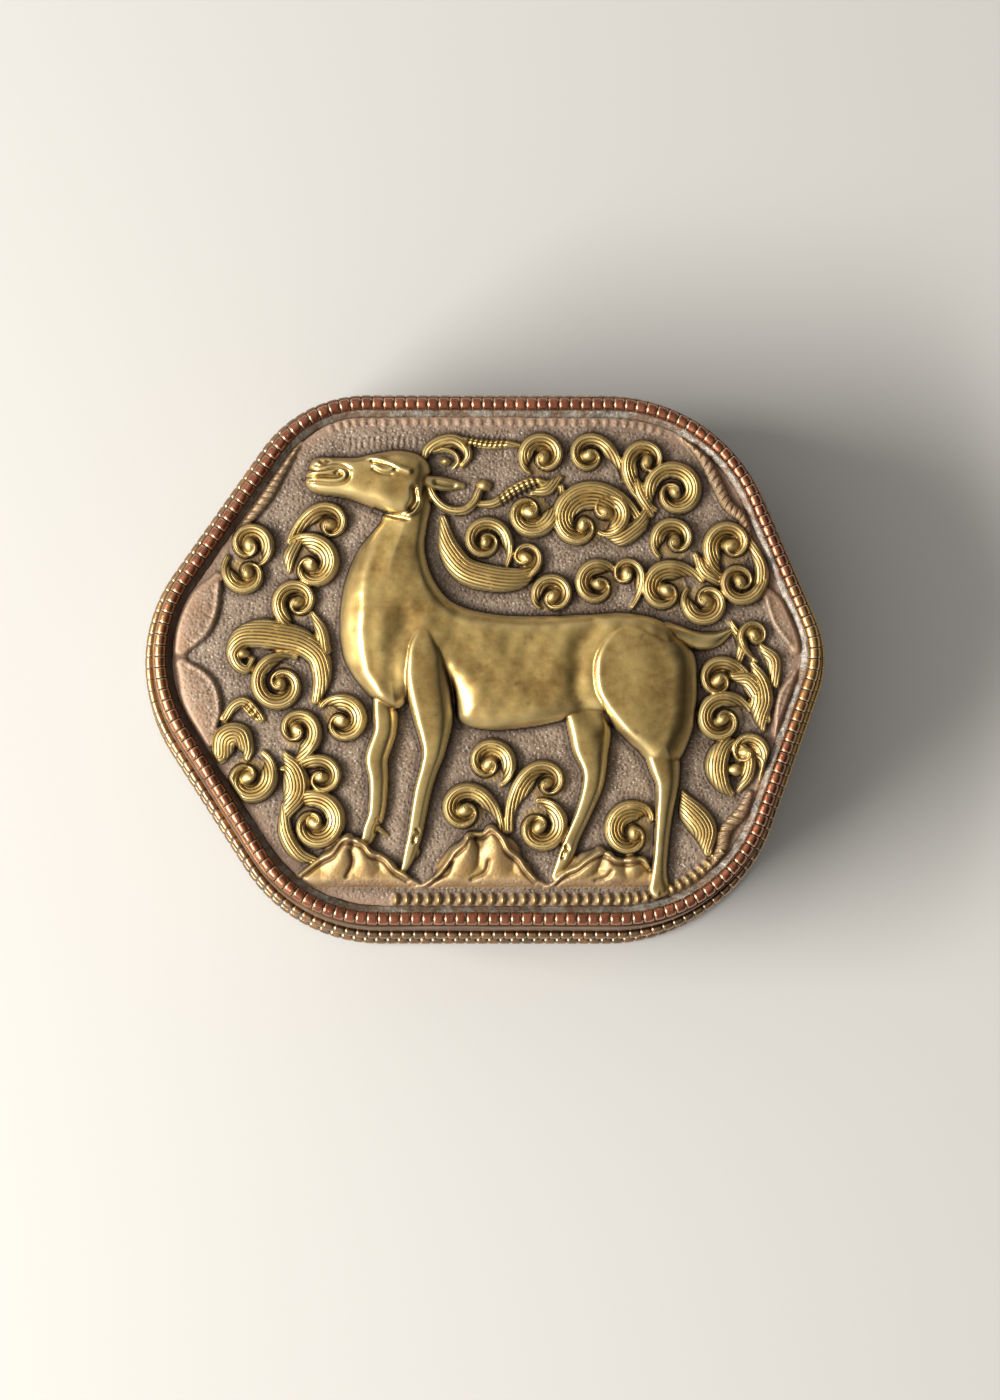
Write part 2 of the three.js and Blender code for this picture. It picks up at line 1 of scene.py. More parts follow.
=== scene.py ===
import math

import bpy
import numpy as np
from mathutils import Matrix, Vector


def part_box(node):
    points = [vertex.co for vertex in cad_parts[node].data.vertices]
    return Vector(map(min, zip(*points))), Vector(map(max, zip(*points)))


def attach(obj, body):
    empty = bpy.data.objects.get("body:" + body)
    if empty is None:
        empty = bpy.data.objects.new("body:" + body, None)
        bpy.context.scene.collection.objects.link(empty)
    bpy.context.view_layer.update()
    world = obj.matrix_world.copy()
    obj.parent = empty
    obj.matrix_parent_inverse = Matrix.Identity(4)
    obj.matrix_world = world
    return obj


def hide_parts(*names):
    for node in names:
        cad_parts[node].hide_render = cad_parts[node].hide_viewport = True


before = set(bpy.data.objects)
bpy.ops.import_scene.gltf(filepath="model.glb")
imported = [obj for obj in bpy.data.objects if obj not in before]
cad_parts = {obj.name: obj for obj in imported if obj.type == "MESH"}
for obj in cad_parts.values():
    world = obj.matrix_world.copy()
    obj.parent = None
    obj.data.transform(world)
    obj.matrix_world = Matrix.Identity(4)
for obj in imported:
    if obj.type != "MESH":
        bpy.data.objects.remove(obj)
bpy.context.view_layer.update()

# Brass box with a repousse lid: lengths are millimetres unless a name says otherwise, and
# places on the lid have X to the right of the deer, Y to the back and Z up from the table.
MM = 0.001
TURN = 2 * math.pi

# Plan along the outer edge of the rim wire: where the straight sides would meet, and the
# radius that rounds each corner, counter-clockwise from the right.
CORNERS = [
    (56.15, 1.7, 14.2),
    (38.2, 43.6, 27),
    (-30.2, 43.5, 19),
    (-59.85, 1.1, 23.2),
    (-31.2, -43.5, 24),
    (40, -43.6, 26),
]

# Sheet and wire sizes. FLARE is how far the walls lean out for each millimetre down, and
# FIELD_EDGE how far from the plan the panel's flat flange ends.
WALL_SHEET = 0.8
COLLAR_SHEET = 0.7
PANEL_SHEET = 0.8
FLARE = 0.08
BEAD_PITCH = 1.86
BEAD_STEPS = 14
RIM_WIRE_RADIUS = 1.0
TRIM_WIRE_RADIUS = 1.0
TRIM_WIRE_DEPTH = 0.82
TRIM_WIRE_SEAT = 0.45
GROUND_DOME = 0.5
SEAT_GAP = 0.3
FLOOR_RISE = 0.12
FIELD_EDGE = -3.0
DENT_LENGTH = 22

# How deep the notches between a wire's beads are, as a share of its radius.
RIM_NOTCH = 0.36
TRIM_NOTCH = 0.28

# Section of the solder fillet: offset from the plan and height over the panel.
SOLDER_SECTION = [
    (-1.6, 0.0), (-1.72, 0.6), (-2.0, 0.78), (-2.4, 0.52), (-2.8, 0.22), (-3.2, 0.02), (-3.0, -0.1),
]

# Relief over the ground, and the spacing of the strokes engraved in it.
DEER_HEIGHT = 4.2
SCROLL_HEIGHT = 2.0
EYE_RADIUS = 1.3
STROKE_PITCH = 0.58
ANTLER_STROKE_PITCH = 0.7

# Grid of the panel's front, and how many of its cells one cell of the reverse spans.
GRID = 0.2
BACK_CELLS = 4

# How many stations round the plan each kind of piece takes, and how many rings the floor has.
OUTLINE_STATIONS = 1440
BAND_STATIONS = 420
WIRE_STATIONS = 720
SOLDER_STATIONS = 900
FLOOR_STATIONS = 240
FLOOR_RINGS = 16


def node_box(name):
    """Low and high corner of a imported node."""
    return np.array(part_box(name)) / MM


# The plan

def plan_points():
    """Points and outward normals of the rounded hexagon, dense on its corners."""
    rows = []
    for i, (x, y, radius) in enumerate(CORNERS):
        here = np.array([x, y])
        arriving = here - CORNERS[i - 1][:2]
        leaving = np.array(CORNERS[(i + 1) % len(CORNERS)][:2]) - here
        out_in, out_off = [
            np.array([way[1], -way[0]]) / np.linalg.norm(way) for way in (arriving, leaving)]
        centre = here - (out_in + out_off) * radius / (1 + out_in @ out_off)
        start = math.atan2(out_in[1], out_in[0])
        turn = (math.atan2(out_off[1], out_off[0]) - start) % TURN
        for angle in np.linspace(start, start + turn, 60):
            out = np.array([math.cos(angle), math.sin(angle)])
            rows.append([*(centre + radius * out), *out])
    rows.append(rows[0])
    return np.array(rows)


PLAN = plan_points()
PLAN_LOW = PLAN[:, :2].min(axis=0)
PLAN_HIGH = PLAN[:, :2].max(axis=0)
PLAN_MIDDLE = (PLAN_LOW + PLAN_HIGH) / 2
PLAN_HALF = (PLAN_HIGH - PLAN_LOW) / 2
PLAN[:, :2] -= PLAN_MIDDLE
PLAN_STEPS = np.linalg.norm(np.diff(PLAN[:, :2], axis=0), axis=1)
PLAN_LENGTH = np.concatenate([[0], np.cumsum(PLAN_STEPS)])
PERIMETER = PLAN_LENGTH[-1]


def along_plan(count):
    """Evenly spaced lengths round the plan."""
    return np.arange(count) / count * PERIMETER


def stations(count):
    """Evenly spaced points and normals round the plan."""
    return np.stack([np.interp(along_plan(count), PLAN_LENGTH, PLAN[:, k]) for k in range(4)], axis=1)


def ring_points(places, offset, z):
    """Stations moved out by offset, at height z; both may vary round the ring."""
    flat = places[:, :2] + places[:, 2:] * np.reshape(offset, (-1, 1))
    return np.column_stack([flat, np.broadcast_to(z, len(flat))])


def outline_radius(angles, offset):
    """How far the plan, moved out by offset, lies from the middle in each direction."""
    x, y, _ = ring_points(stations(OUTLINE_STATIONS), offset, 0).T
    around = np.arctan2(y, x)
    order = np.argsort(around)
    return np.interp(angles, around[order], np.hypot(x, y)[order], period=TURN)


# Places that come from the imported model

RIM_TOP = node_box("lid_rim_wire")[1, 2]
PANEL_TOP = node_box("rim_solder")[0, 2]
PANEL_EDGE = node_box("lid_panel")[1, 0] - PLAN_HALF[0]
WALL_FOOT = node_box("base_wall")[0, 2]
WALL_FOOT_OFFSET = node_box("base_wall")[1, 0] - PLAN_HALF[0]


def wall_outer(z):
    return WALL_FOOT_OFFSET - FLARE * (z - WALL_FOOT)


def collar_outer(z):
    return wall_outer(z) - WALL_SHEET - SEAT_GAP


# Meshes

def link_object(name, data):
    made = bpy.data.objects.new(name, data)
    bpy.context.scene.collection.objects.link(made)
    return made


def make_object(name, vertices, faces, material):
    mesh = bpy.data.meshes.new(name)
    mesh.from_pydata((np.asarray(vertices) * MM).tolist(), [], faces)
    mesh.materials.append(material)
    mesh.shade_smooth()
    return link_object(name, mesh)


def ripple(x, y, wavelength, seed):
    """Soft unevenness between -1 and 1, the same on every run."""
    total = 0.0
    for k in range(5):
        angle = seed * 1.7 + k * 2.399
        length = wavelength * (0.7 + 0.23 * k)
        phase = seed * 3.1 + k * 1.9
        along = x * math.cos(angle) + y * math.sin(angle)
        total = total + np.sin(along * TURN / length + phase)
    return total / 5


def strip(here, there, count):
    """Faces between two rings of count points, which start at the vertices here and there."""
    following = [(i + 1) % count for i in range(count)]
    return [(here + i, here + j, there + j, there + i) for i, j in enumerate(following)]


def band_mesh(name, rings, material):
    """A closed band through rings of points, the last of which joins the first."""
    count = len(rings[0])
    faces = []
    for k in range(len(rings)):
        faces += strip(k * count, (k + 1) % len(rings) * count, count)
    return make_object(name, np.concatenate(rings), faces, material)


def sheet_band(name, node, outer, thickness, rows, dent, seed, material):
    """An upright, slightly dented band of sheet with rounded edges, as tall as its node."""
    low, high = node_box(node)[:, 2]
    lip = thickness * 0.4
    heights = np.linspace(low + lip, high - lip, rows)
    depths = [0.3 * lip, lip, thickness - lip, thickness - 0.3 * lip]
    drops = [0.3 * lip, 0, 0, 0.3 * lip]
    section = [(outer(z), z) for z in heights]
    section += [(outer(high) - depth, high - drop) for depth, drop in zip(depths, drops)]
    section += [(outer(z) - thickness, z) for z in heights[::-1]]
    section += [(outer(low) - depth, low + drop) for depth, drop in zip(depths[::-1], drops)]
    places = stations(BAND_STATIONS)
    around = along_plan(BAND_STATIONS)
    rings = []
    for offset, z in section:
        shift = dent * ripple(around, z, DENT_LENGTH, seed)
        rings.append(ring_points(places, offset + shift, z))
    return band_mesh(name, rings, material)


# Relief of the panel, as heights over its ground on a fine grid

class Relief:
    def __init__(self):
        reach = PLAN_HALF + PANEL_EDGE
        cells = [2 * int(math.ceil(side / (GRID * BACK_CELLS))) * BACK_CELLS for side in reach]
        self.x, self.y = [(np.arange(count + 1) - count / 2) * GRID for count in cells]
        self.X, self.Y = np.meshgrid(self.x, self.y)
        layers = np.zeros((5, *self.X.shape))
        self.height, self.engrave, self.engraved, self.deer, self.copper = layers

    def window(self, line, margin):
        low = line[:, :2].min(axis=0) - margin
        high = line[:, :2].max(axis=0) + margin
        cols = slice(np.searchsorted(self.x, low[0]), np.searchsorted(self.x, high[0]) + 1)
        rows = slice(np.searchsorted(self.y, low[1]), np.searchsorted(self.y, high[1]) + 1)
        return rows, cols

    def around(self, x, y, radius):
        """The window round a place, and how far its points lie from that place in x and y."""
        x, y = np.array([x, y]) - PLAN_MIDDLE
        window = self.window(np.array([[x, y]]), radius + 0.5)
        return window, self.X[window] - x, self.Y[window] - y

    def project(self, line, window):
        """For each grid point: its share along the line, and its signed distance to the left."""
        X = self.X[window]
        Y = self.Y[window]
        nearest = np.full(X.shape, np.inf)
        along = np.zeros(X.shape)
        side = np.zeros(X.shape)
        spans = len(line) - 1
        for i in range(spans):
            start = line[i, :2]
            step = line[i + 1, :2] - start
            px = X - start[0]
            py = Y - start[1]
            share = np.clip((px * step[0] + py * step[1]) / (step @ step), 0, 1)
            distance = (px - share * step[0]) ** 2 + (py - share * step[1]) ** 2
            closer = distance < nearest
            nearest = np.where(closer, distance, nearest)
            along = np.where(closer, (i + share) / spans, along)
            signed = np.sign(step[0] * py - step[1] * px) * np.sqrt(distance)
            side = np.where(closer, signed, side)
        return along, side

    def lay(self, window, form, marks=0.0, cut=0.0, deer=0.0, copper=0.0):
        """Keeps the higher of the relief so far and a new form, with the new form's marks."""
        higher = form > self.height[window]
        for layer, value in (
            (self.height, form), (self.engrave, marks), (self.engraved, cut),
            (self.deer, deer), (self.copper, copper),
        ):
            layer[window] = np.where(higher, value, layer[window])

    def raise_form(self, line, flat=2.6, ridge=0.0, dish=0.0, pitch=0.0, twist=0.0, tent=False,
                   deer=0.0, copper=0.0):
        """Raises a form along rows of [x, y, half width, height].

        Its crest lies ridge of the half width to the left of the path. A dished form slopes
        down from the crest away from that side; pitch spaces engraved lines along it, and
        twist spaces strands across it."""
        window = self.window(line, line[:, 2].max() + 0.5)
        along, side = self.project(line, window)
        steps = np.linspace(0, 1, len(line))
        half = np.interp(along, steps, line[:, 2])
        height = np.interp(along, steps, line[:, 3])
        across = side / half
        fall = np.clip(np.abs(across - ridge) / np.where(across > ridge, 1 - ridge, 1 + ridge), 0, 1)
        form = 1 - fall if tent else np.sqrt(1 - fall ** flat)
        cut = np.full(form.shape, 1.0 if pitch > 0 or twist > 0 else 0.0)
        if dish > 0:
            inner = (across - ridge) * np.sign(ridge) < 0
            form = np.where(inner, (1 - dish * fall) * np.sqrt(1 - fall ** 8), form)
            cut = np.where(inner, cut, 0.5 * cut)
        marks = np.zeros(form.shape)
        if pitch > 0:
            marks = half * (1 - across * (np.sign(ridge) or 1)) / pitch
        if twist > 0:
            run = along * np.linalg.norm(np.diff(line[:, :2], axis=0), axis=1).sum()
            marks = run / twist + across * 0.4
            form = form * (0.78 + 0.22 * np.cos(TURN * marks))
        self.lay(window, np.where(np.abs(across) < 1, height * form, 0), marks, cut, deer, copper)

    def raise_rows(self, rows, scale=1.0, **settings):
        """Raises a form along a smooth curve through rows in the panel's own places."""
        self.raise_form(smooth_line(placed(rows, scale)), **settings)

    def raise_island(self, corners, height, rounding, deer=0.0, copper=0.0):
        """Raises a plateau with rounded shoulders inside a smooth outline.

        The height and the width of the shoulders are functions of x and y."""
        loop = closed_line(np.array(corners, dtype=float) - PLAN_MIDDLE)
        window = self.window(loop, 0.5)
        _, side = self.project(loop, window)
        X = self.X[window]
        Y = self.Y[window]
        inside = np.zeros(X.shape, dtype=bool)
        for (x0, y0), (x1, y1) in zip(loop[:-1], loop[1:]):
            if y0 == y1:
                continue
            crosses = (Y < y0) != (Y < y1)
            inside ^= crosses & (X < x0 + (Y - y0) * (x1 - x0) / (y1 - y0))
        depth = np.clip(np.abs(side) / rounding(X, Y), 0, 1)
        form = height(X, Y) * np.sqrt(1 - (1 - depth) ** 2.3)
        self.lay(window, np.where(inside, form, 0), deer=deer, copper=copper)

    def raise_ball(self, x, y, radius, top, lean=0.0):
        """A blunt cone, the eye of a curl, a little longer along the angle it leans at."""
        window, px, py = self.around(x, y, radius)
        long_way = px * math.cos(lean) + py * math.sin(lean)
        short_way = py * math.cos(lean) - px * math.sin(lean)
        distance = np.hypot(0.86 * long_way, 1.14 * short_way) / radius
        self.lay(window, top * np.clip(1 - distance ** 1.9, 0, 1) ** 0.75)

    def raise_dish(self, x, y, radius, top):
        """A low flat disc, the floor inside a coil."""
        window, px, py = self.around(x, y, radius)
        distance = np.hypot(px, py) / radius
        self.lay(window, top * np.sqrt(np.clip(1 - distance ** 6, 0, 1)))

    def chase(self, points, width, depth):
        """Chased line: a groove, or with a negative depth a raised thread, along points."""
        line = smooth_line(np.array(points, dtype=float) - PLAN_MIDDLE)
        window = self.window(line, 3 * width)
        _, side = self.project(line, window)
        self.height[window] -= depth * np.exp(-((side / width) ** 2))


def smooth_line(points, per_span=10):
    """Points on a smooth curve through the given rows."""
    rows = np.vstack([2 * points[0] - points[1], points, 2 * points[-1] - points[-2]])
    made = []
    for i in range(1, len(rows) - 2):
        a, b, c, d = rows[i - 1:i + 3]
        for t in np.arange(per_span) / per_span:
            made.append(0.5 * (
                2 * b + (c - a) * t + (2 * a - 5 * b + 4 * c - d) * t ** 2
                + (3 * b - a - 3 * c + d) * t ** 3
            ))
    made.append(points[-1])
    return np.array(made)


def closed_line(corners, per_span=8):
    """Smooth closed curve through the corners, with its first point repeated at the end."""
    made = smooth_line(np.vstack([corners[-2:], corners, corners[:2]]), per_span)
    return made[2 * per_span:len(made) - per_span]


def between(value, low, high):
    """Rises smoothly from 0 at low to 1 at high."""
    share = np.clip((value - low) / (high - low), 0, 1)
    return share * share * (3 - 2 * share)


def shifted(values, reach, axis):
    """Copies of a grid moved along an axis by up to reach cells, with its edge repeated."""
    padded = np.pad(values, [(reach, reach) if k == axis else (0, 0) for k in (0, 1)], mode="edge")
    size = values.shape[axis]
    return [np.take(padded, np.arange(k, k + size), axis=axis) for k in range(2 * reach + 1)]


def soften(values, radius):
    """Gaussian blur of a grid, with radius in millimetres."""
    reach = int(3 * radius / GRID) + 1
    taps = np.exp(-0.5 * (np.arange(-reach, reach + 1) * GRID / radius) ** 2)
    taps /= taps.sum()
    for axis in (0, 1):
        values = sum(tap * copy for tap, copy in zip(taps, shifted(values, reach, axis)))
    return values


def smallest_near(values, reach):
    """The smallest value within reach cells of each grid point."""
    for axis in (0, 1):
        values = np.min(shifted(values, reach, axis), axis=0)
    return values


# The deer's broad forms, as outlines: neck and trunk, haunch, and head.
BODY = [
    (-18, 22.8), (-21.6, 18.2), (-23.8, 12.6), (-24.6, 6.2), (-24, 0.7), (-21.8, -3.4),
    (-18.6, -6.8), (-15.2, -8.3), (-12.2, -6), (-8.6, -4), (-6.4, -5), (-4.8, -10), (0, -11.6),
    (6.6, -11.2), (12.2, -10.1), (16.6, -9.2), (22, -9.4), (29, -8), (32.4, -2), (31.6, 4.3),
    (27.9, 7), (22.4, 8), (16.1, 7.7), (6.6, 7.4), (0, 7.9), (-5.6, 9.6), (-8.8, 13.3),
    (-10.3, 18.1), (-10, 22), (-9.2, 26.4), (-10, 30), (-14, 30.5), (-17.4, 26),
]
HAUNCH = [
    (19.6, 5.2), (17.4, 1.8), (16.8, -2), (17.6, -6.4), (21.2, -11.5), (24.8, -15), (27, -17.4),
    (30.4, -17.6), (32.3, -15.6), (34.1, -10.8), (34.7, -5.4), (34.4, 0.6), (31.8, 4.6),
    (27, 6.4), (22.6, 6.7),
]
HEAD = [
    (-30.3, 30), (-29.8, 28.4), (-28, 27.4), (-23.4, 26.6), (-18.8, 25), (-16, 23.9),
    (-13.4, 23.7), (-11.2, 25.2), (-10, 28.4), (-9.4, 31.4), (-10.8, 33.9), (-14.6, 34.9),
    (-18.6, 34.4), (-22, 33.7), (-26.6, 33.7), (-28.8, 33.4), (-29.7, 32),
]

# Limbs: how square the shoulders are, how far the crest lies to the left (+) or right (-) of
# the path, and rows of [x, y, half width, share of DEER_HEIGHT].
LIMBS_BEHIND = [
    # far foreleg
    (3.6, -0.45, [
        [-17, -6.4, 2.1, 0.5], [-16.9, -9, 2.1, 0.62], [-17, -12, 2, 0.64], [-18.3, -16.2, 2, 0.62],
        [-18, -19.8, 1.7, 0.56], [-18.3, -25, 1.5, 0.5], [-19.4, -28, 1.3, 0.44],
        [-20.2, -30.6, 0.9, 0.3]]),
    # far spur
    (2.0, 0.0, [
        [-19, -26.8, 0.7, 0.3], [-17.8, -28, 0.6, 0.24], [-16.6, -28.9, 0.3, 0.16]]),
    # far hind leg
    (3.8, -0.45, [
        [16.4, -8.4, 4, 0.62], [16.8, -11.5, 3.7, 0.7], [17, -14.6, 3.2, 0.7], [17.5, -18, 2.2, 0.64],
        [17.2, -21, 1.8, 0.58], [15.7, -25.3, 1.4, 0.52], [13.9, -29.4, 1.3, 0.46],
        [12.9, -32.2, 1.4, 0.42], [11.3, -35.6, 0.9, 0.26]]),
    # hind spur
    (2.0, 0.0, [
        [13.3, -31.4, 0.8, 0.3], [14.3, -32.8, 0.6, 0.24], [15, -33.6, 0.3, 0.16]]),
    # tail
    (2.0, 0.0, [
        [29.5, 4.6, 2, 0.66], [34, 3.4, 1.7, 0.5], [37.4, 3.5, 1.4, 0.42], [40.2, 4.9, 0.6, 0.24]]),
]
LIMBS_BEFORE = [
    # near foreleg
    (4.5, -0.45, [
        [-10.2, 6, 1, 0.9], [-10.3, 2.4, 3.1, 1.04], [-10, -1, 4, 1.1], [-9.8, -4, 4, 1.1],
        [-9, -9.6, 3.4, 0.92], [-8.9, -14.7, 2.1, 0.76], [-9.7, -18, 1.6, 0.68],
        [-10.8, -22, 1.5, 0.62], [-12, -28.6, 1.3, 0.54], [-12.9, -32, 1.1, 0.44],
        [-13.8, -34.6, 0.6, 0.25]]),
    # near spur
    (2.0, 0.0, [
        [-12.4, -30, 0.8, 0.34], [-11.6, -31.4, 0.5, 0.26], [-11.9, -32.6, 0.3, 0.16]]),
    # hind shank
    (3.2, -0.5, [
        [28.4, -14, 3.2, 0.8], [29.2, -17.6, 2.7, 0.76], [29.6, -20.8, 2, 0.66],
        [29.1, -25.6, 1.5, 0.58], [28.6, -31, 1.3, 0.54], [28.3, -35, 1.4, 0.46],
        [28.3, -37.6, 1.9, 0.38]]),
    # ear
    (2.0, 0.3, [
        [-10.8, 29.6, 1.3, 0.66], [-7.4, 29.2, 1.3, 0.5], [-4.3, 29, 0.6, 0.3]]),
]

# Lines chased into the deer: points, width and depth; a negative depth raises a thread.
DEER_LINES = [
    ([(-30.4, 30.1), (-27.5, 30.3), (-25.2, 30.2), (-24.2, 30.6), (-24.6, 31.1), (-25.1, 30.8)],
     0.22, 0.55),
    ([(-29.9, 31.5), (-27.5, 31.3), (-25.4, 31.6), (-23.9, 31.6), (-22.9, 30.9), (-23, 29.9),
      (-24, 29.2), (-26, 29), (-29.6, 29.4)], 0.2, 0.42),
    ([(-29.6, 30.8), (-27, 30.9), (-25.2, 31.2), (-24, 31.1), (-23.6, 30.4), (-24.2, 29.8),
      (-26, 29.6), (-29.8, 29.9)], 0.2, -0.3),
    ([(-29.3, 32), (-28.9, 33.1), (-27.6, 33.5), (-26, 33.2)], 0.22, -0.35),
    ([(-28.4, 32.2), (-27.6, 31.9), (-26.2, 32.2), (-24, 32.2), (-22.6, 31.4)], 0.2, 0.4),
    ([(-27.7, 32.8), (-27.1, 32.5), (-26.4, 32.9)], 0.3, 0.5),
    ([(-19.8, 33.5), (-17.4, 32.8), (-15.5, 31.9), (-13, 31)], 0.42, -0.5),
    ([(-19.2, 32.8), (-17.6, 32.5), (-16.2, 32.1), (-15.2, 31.4)], 0.2, 0.6),
    ([(-18.9, 32.1), (-17.7, 31.4), (-16.4, 31.2), (-15.5, 31.5)], 0.26, -0.4),
    ([(-18.9, 31.4), (-17.6, 30.7), (-16, 30.5)], 0.25, 0.25),
    ([(-11.5, 27.8), (-11.2, 26.3), (-12, 24.6), (-13.2, 23.8)], 0.35, -0.5),
    ([(-12.1, 28.2), (-12, 26.4), (-12.8, 25)], 0.5, 0.7),
    ([(-18.6, 25.1), (-16, 23.9), (-13.5, 23.3)], 0.45, 0.55),
    ([(-13.4, 6.4), (-15.2, 3.4), (-15.8, 0), (-15.8, -4), (-15, -7.4)], 1.5, 0.32),
    ([(-6.8, -1), (-6.4, -4), (-5.8, -7.4), (-5, -10.6)], 0.9, 0.35),
    ([(17.4, 5.6), (15.1, 1.8), (14.5, -2.6), (15.2, -6.8), (18.6, -12)], 1.6, 0.36),
    ([(-18.2, 21.4), (-19.8, 16), (-20.5, 10), (-20.7, 4), (-20, -1.6), (-17.6, -6)], 1.15, -0.3),
    ([(-6.6, 9.4), (-4, 7.4), (3, 6.4), (10, 6.2), (17, 7)], 0.7, 0.24),
    ([(-8.6, 29.3), (-7, 29), (-5.6, 28.9)], 0.35, 0.5),
]

# Antlers: rows of [x, y, half width, height].
ANTLERS = [
    [[-10.6, 33.4, 0.7, 1.1], [-9.9, 35, 1, 1.5], [-8, 36.2, 1.2, 1.7], [-5.6, 36.5, 1.3, 1.8],
     [-3.8, 35.4, 1.1, 1.7], [-3.3, 33.8, 0.8, 1.4], [-4.2, 32.4, 0.5, 1]],
    [[-9, 34.6, 0.4, 1.1], [-7, 35, 0.5, 1.2], [-5.4, 34.3, 0.5, 1.2], [-4.9, 33, 0.5, 1],
     [-5.6, 32, 0.3, 0.7]],
    [[-5.8, 37, 0.5, 1.2], [-3, 36.4, 0.8, 1.5], [0, 35.9, 0.9, 1.4], [3, 36, 0.8, 1.2],
     [5.8, 35.7, 0.4, 0.8]],
    [[-9.8, 28.9, 0.8, 1.8], [-8.6, 26.6, 0.8, 1.7], [-6.6, 25.1, 0.8, 1.6], [-4, 24.9, 0.9, 1.6],
     [-2.2, 26.3, 0.9, 1.5], [-1.4, 28.2, 0.8, 1.4], [-0.6, 29.6, 0.6, 1.1], [0.2, 28.4, 0.4, 0.7]],
    [[-1.6, 26, 0.7, 1.1], [1.2, 26.2, 0.9, 1.4], [4.2, 28.2, 1, 1.5], [7.4, 29.7, 0.9, 1.3],
     [10.2, 29.6, 0.4, 0.8]],
]

# Scrolls: eye x, y; where the band starts x, y; degrees it turns (+ is counter-clockwise);
# radius of the coil's outer edge; greatest band width; how late the coil tightens, if not 1.8.
SCROLLS = [
    (-39.3, 19, -37.5, 15.5, 330, 4.3, 3.3), (-39.8, 14.6, -43.5, 17.3, 260, 4.4, 3.1),
    (-26.2, 22.5, -33.3, 19.5, -290, 4.1, 4.7, 1.6), (-29.3, 15.8, -33.1, 20.1, -310, 5.6, 4),
    (-31.5, 9.6, -30.5, 3.5, -370, 4.5, 3.3), (-34.2, -4, -31.4, 0.9, 440, 5.7, 2.9, 1.3),
    (-24.1, -10.1, -27.8, -7.2, -320, 4.9, 3.4), (-31.4, -11.6, -34.1, -18.4, 350, 4.4, 3.3),
    (-39.4, -19.3, -36.6, -14.8, -330, 5.2, 4.1, 1.6), (-27.4, -19.3, -33.4, -18.3, -320, 3.9, 3.5),
    (-28.5, -26.9, -33.4, -23.7, -400, 6.1, 3.9, 1.5), (-0.4, 19.8, 3.4, 15.4, 420, 4.6, 2.6, 1.4),
    (6.3, 17, 3.9, 12.6, 300, 3, 2.4), (7, 24.6, 12.7, 29.2, -330, 4.8, 3.5),
    (9.2, 33.8, 6.8, 30.9, -330, 4.7, 3.5), (16.8, 34.1, 23, 29.5, 380, 4.1, 3.3, 1.6),
    (15.8, 22.6, 26.6, 22.1, 340, 9.4, 5.4, 0.9), (19.5, 24.6, 18.3, 20.9, 260, 4.8, 3.3, 2),
    (26.4, 33.1, 26.9, 24.8, -330, 4.6, 3.3, 1.6), (31, 28, 27.4, 24.8, -440, 5.9, 3.3, 1.6),
    (31, 19.9, 28.1, 17, -290, 4.6, 3.3), (40.3, 19.2, 39.1, 13.1, -330, 5.1, 3.9, 1.6),
    (41.8, 13.1, 46.5, 16, -400, 4.3, 2.8, 1.6), (10.8, 10.7, 8.5, 8.5, -340, 4.2, 3.2),
    (18.3, 12.6, 21.7, 14.6, 320, 4.7, 3.1), (23, 14.4, 24, 8.5, 300, 3, 2.6),
    (29.6, 11.6, 36.1, 13.6, 320, 5.5, 3.8, 1.5), (36.1, 9.9, 32.7, 12.1, 330, 4.6, 3.3),
    (44.1, 4.2, 44.7, -0.3, -300, 2.9, 2.2, 1.6), (38.3, -3.1, 44.1, -2.8, 320, 4.1, 3.1, 1.6),
    (38.8, -9.7, 44.1, -8, 380, 5, 3.4), (42.8, -15.2, 45.7, -20, 280, 4.1, 3.3, 1.5),
    (0.3, -17, 2.6, -20.9, 340, 4.7, 3.3), (-3.7, -24.7, 2.9, -28.6, 380, 4.9, 3.4),
    (9.7, -20.3, 2.9, -28.6, -300, 4.5, 5, 1.6), (8.6, -27.4, 8.3, -22.6, -350, 5.1, 3.5),
    (24.1, -28.5, 27.5, -25.9, 290, 6.2, 4.7),
]

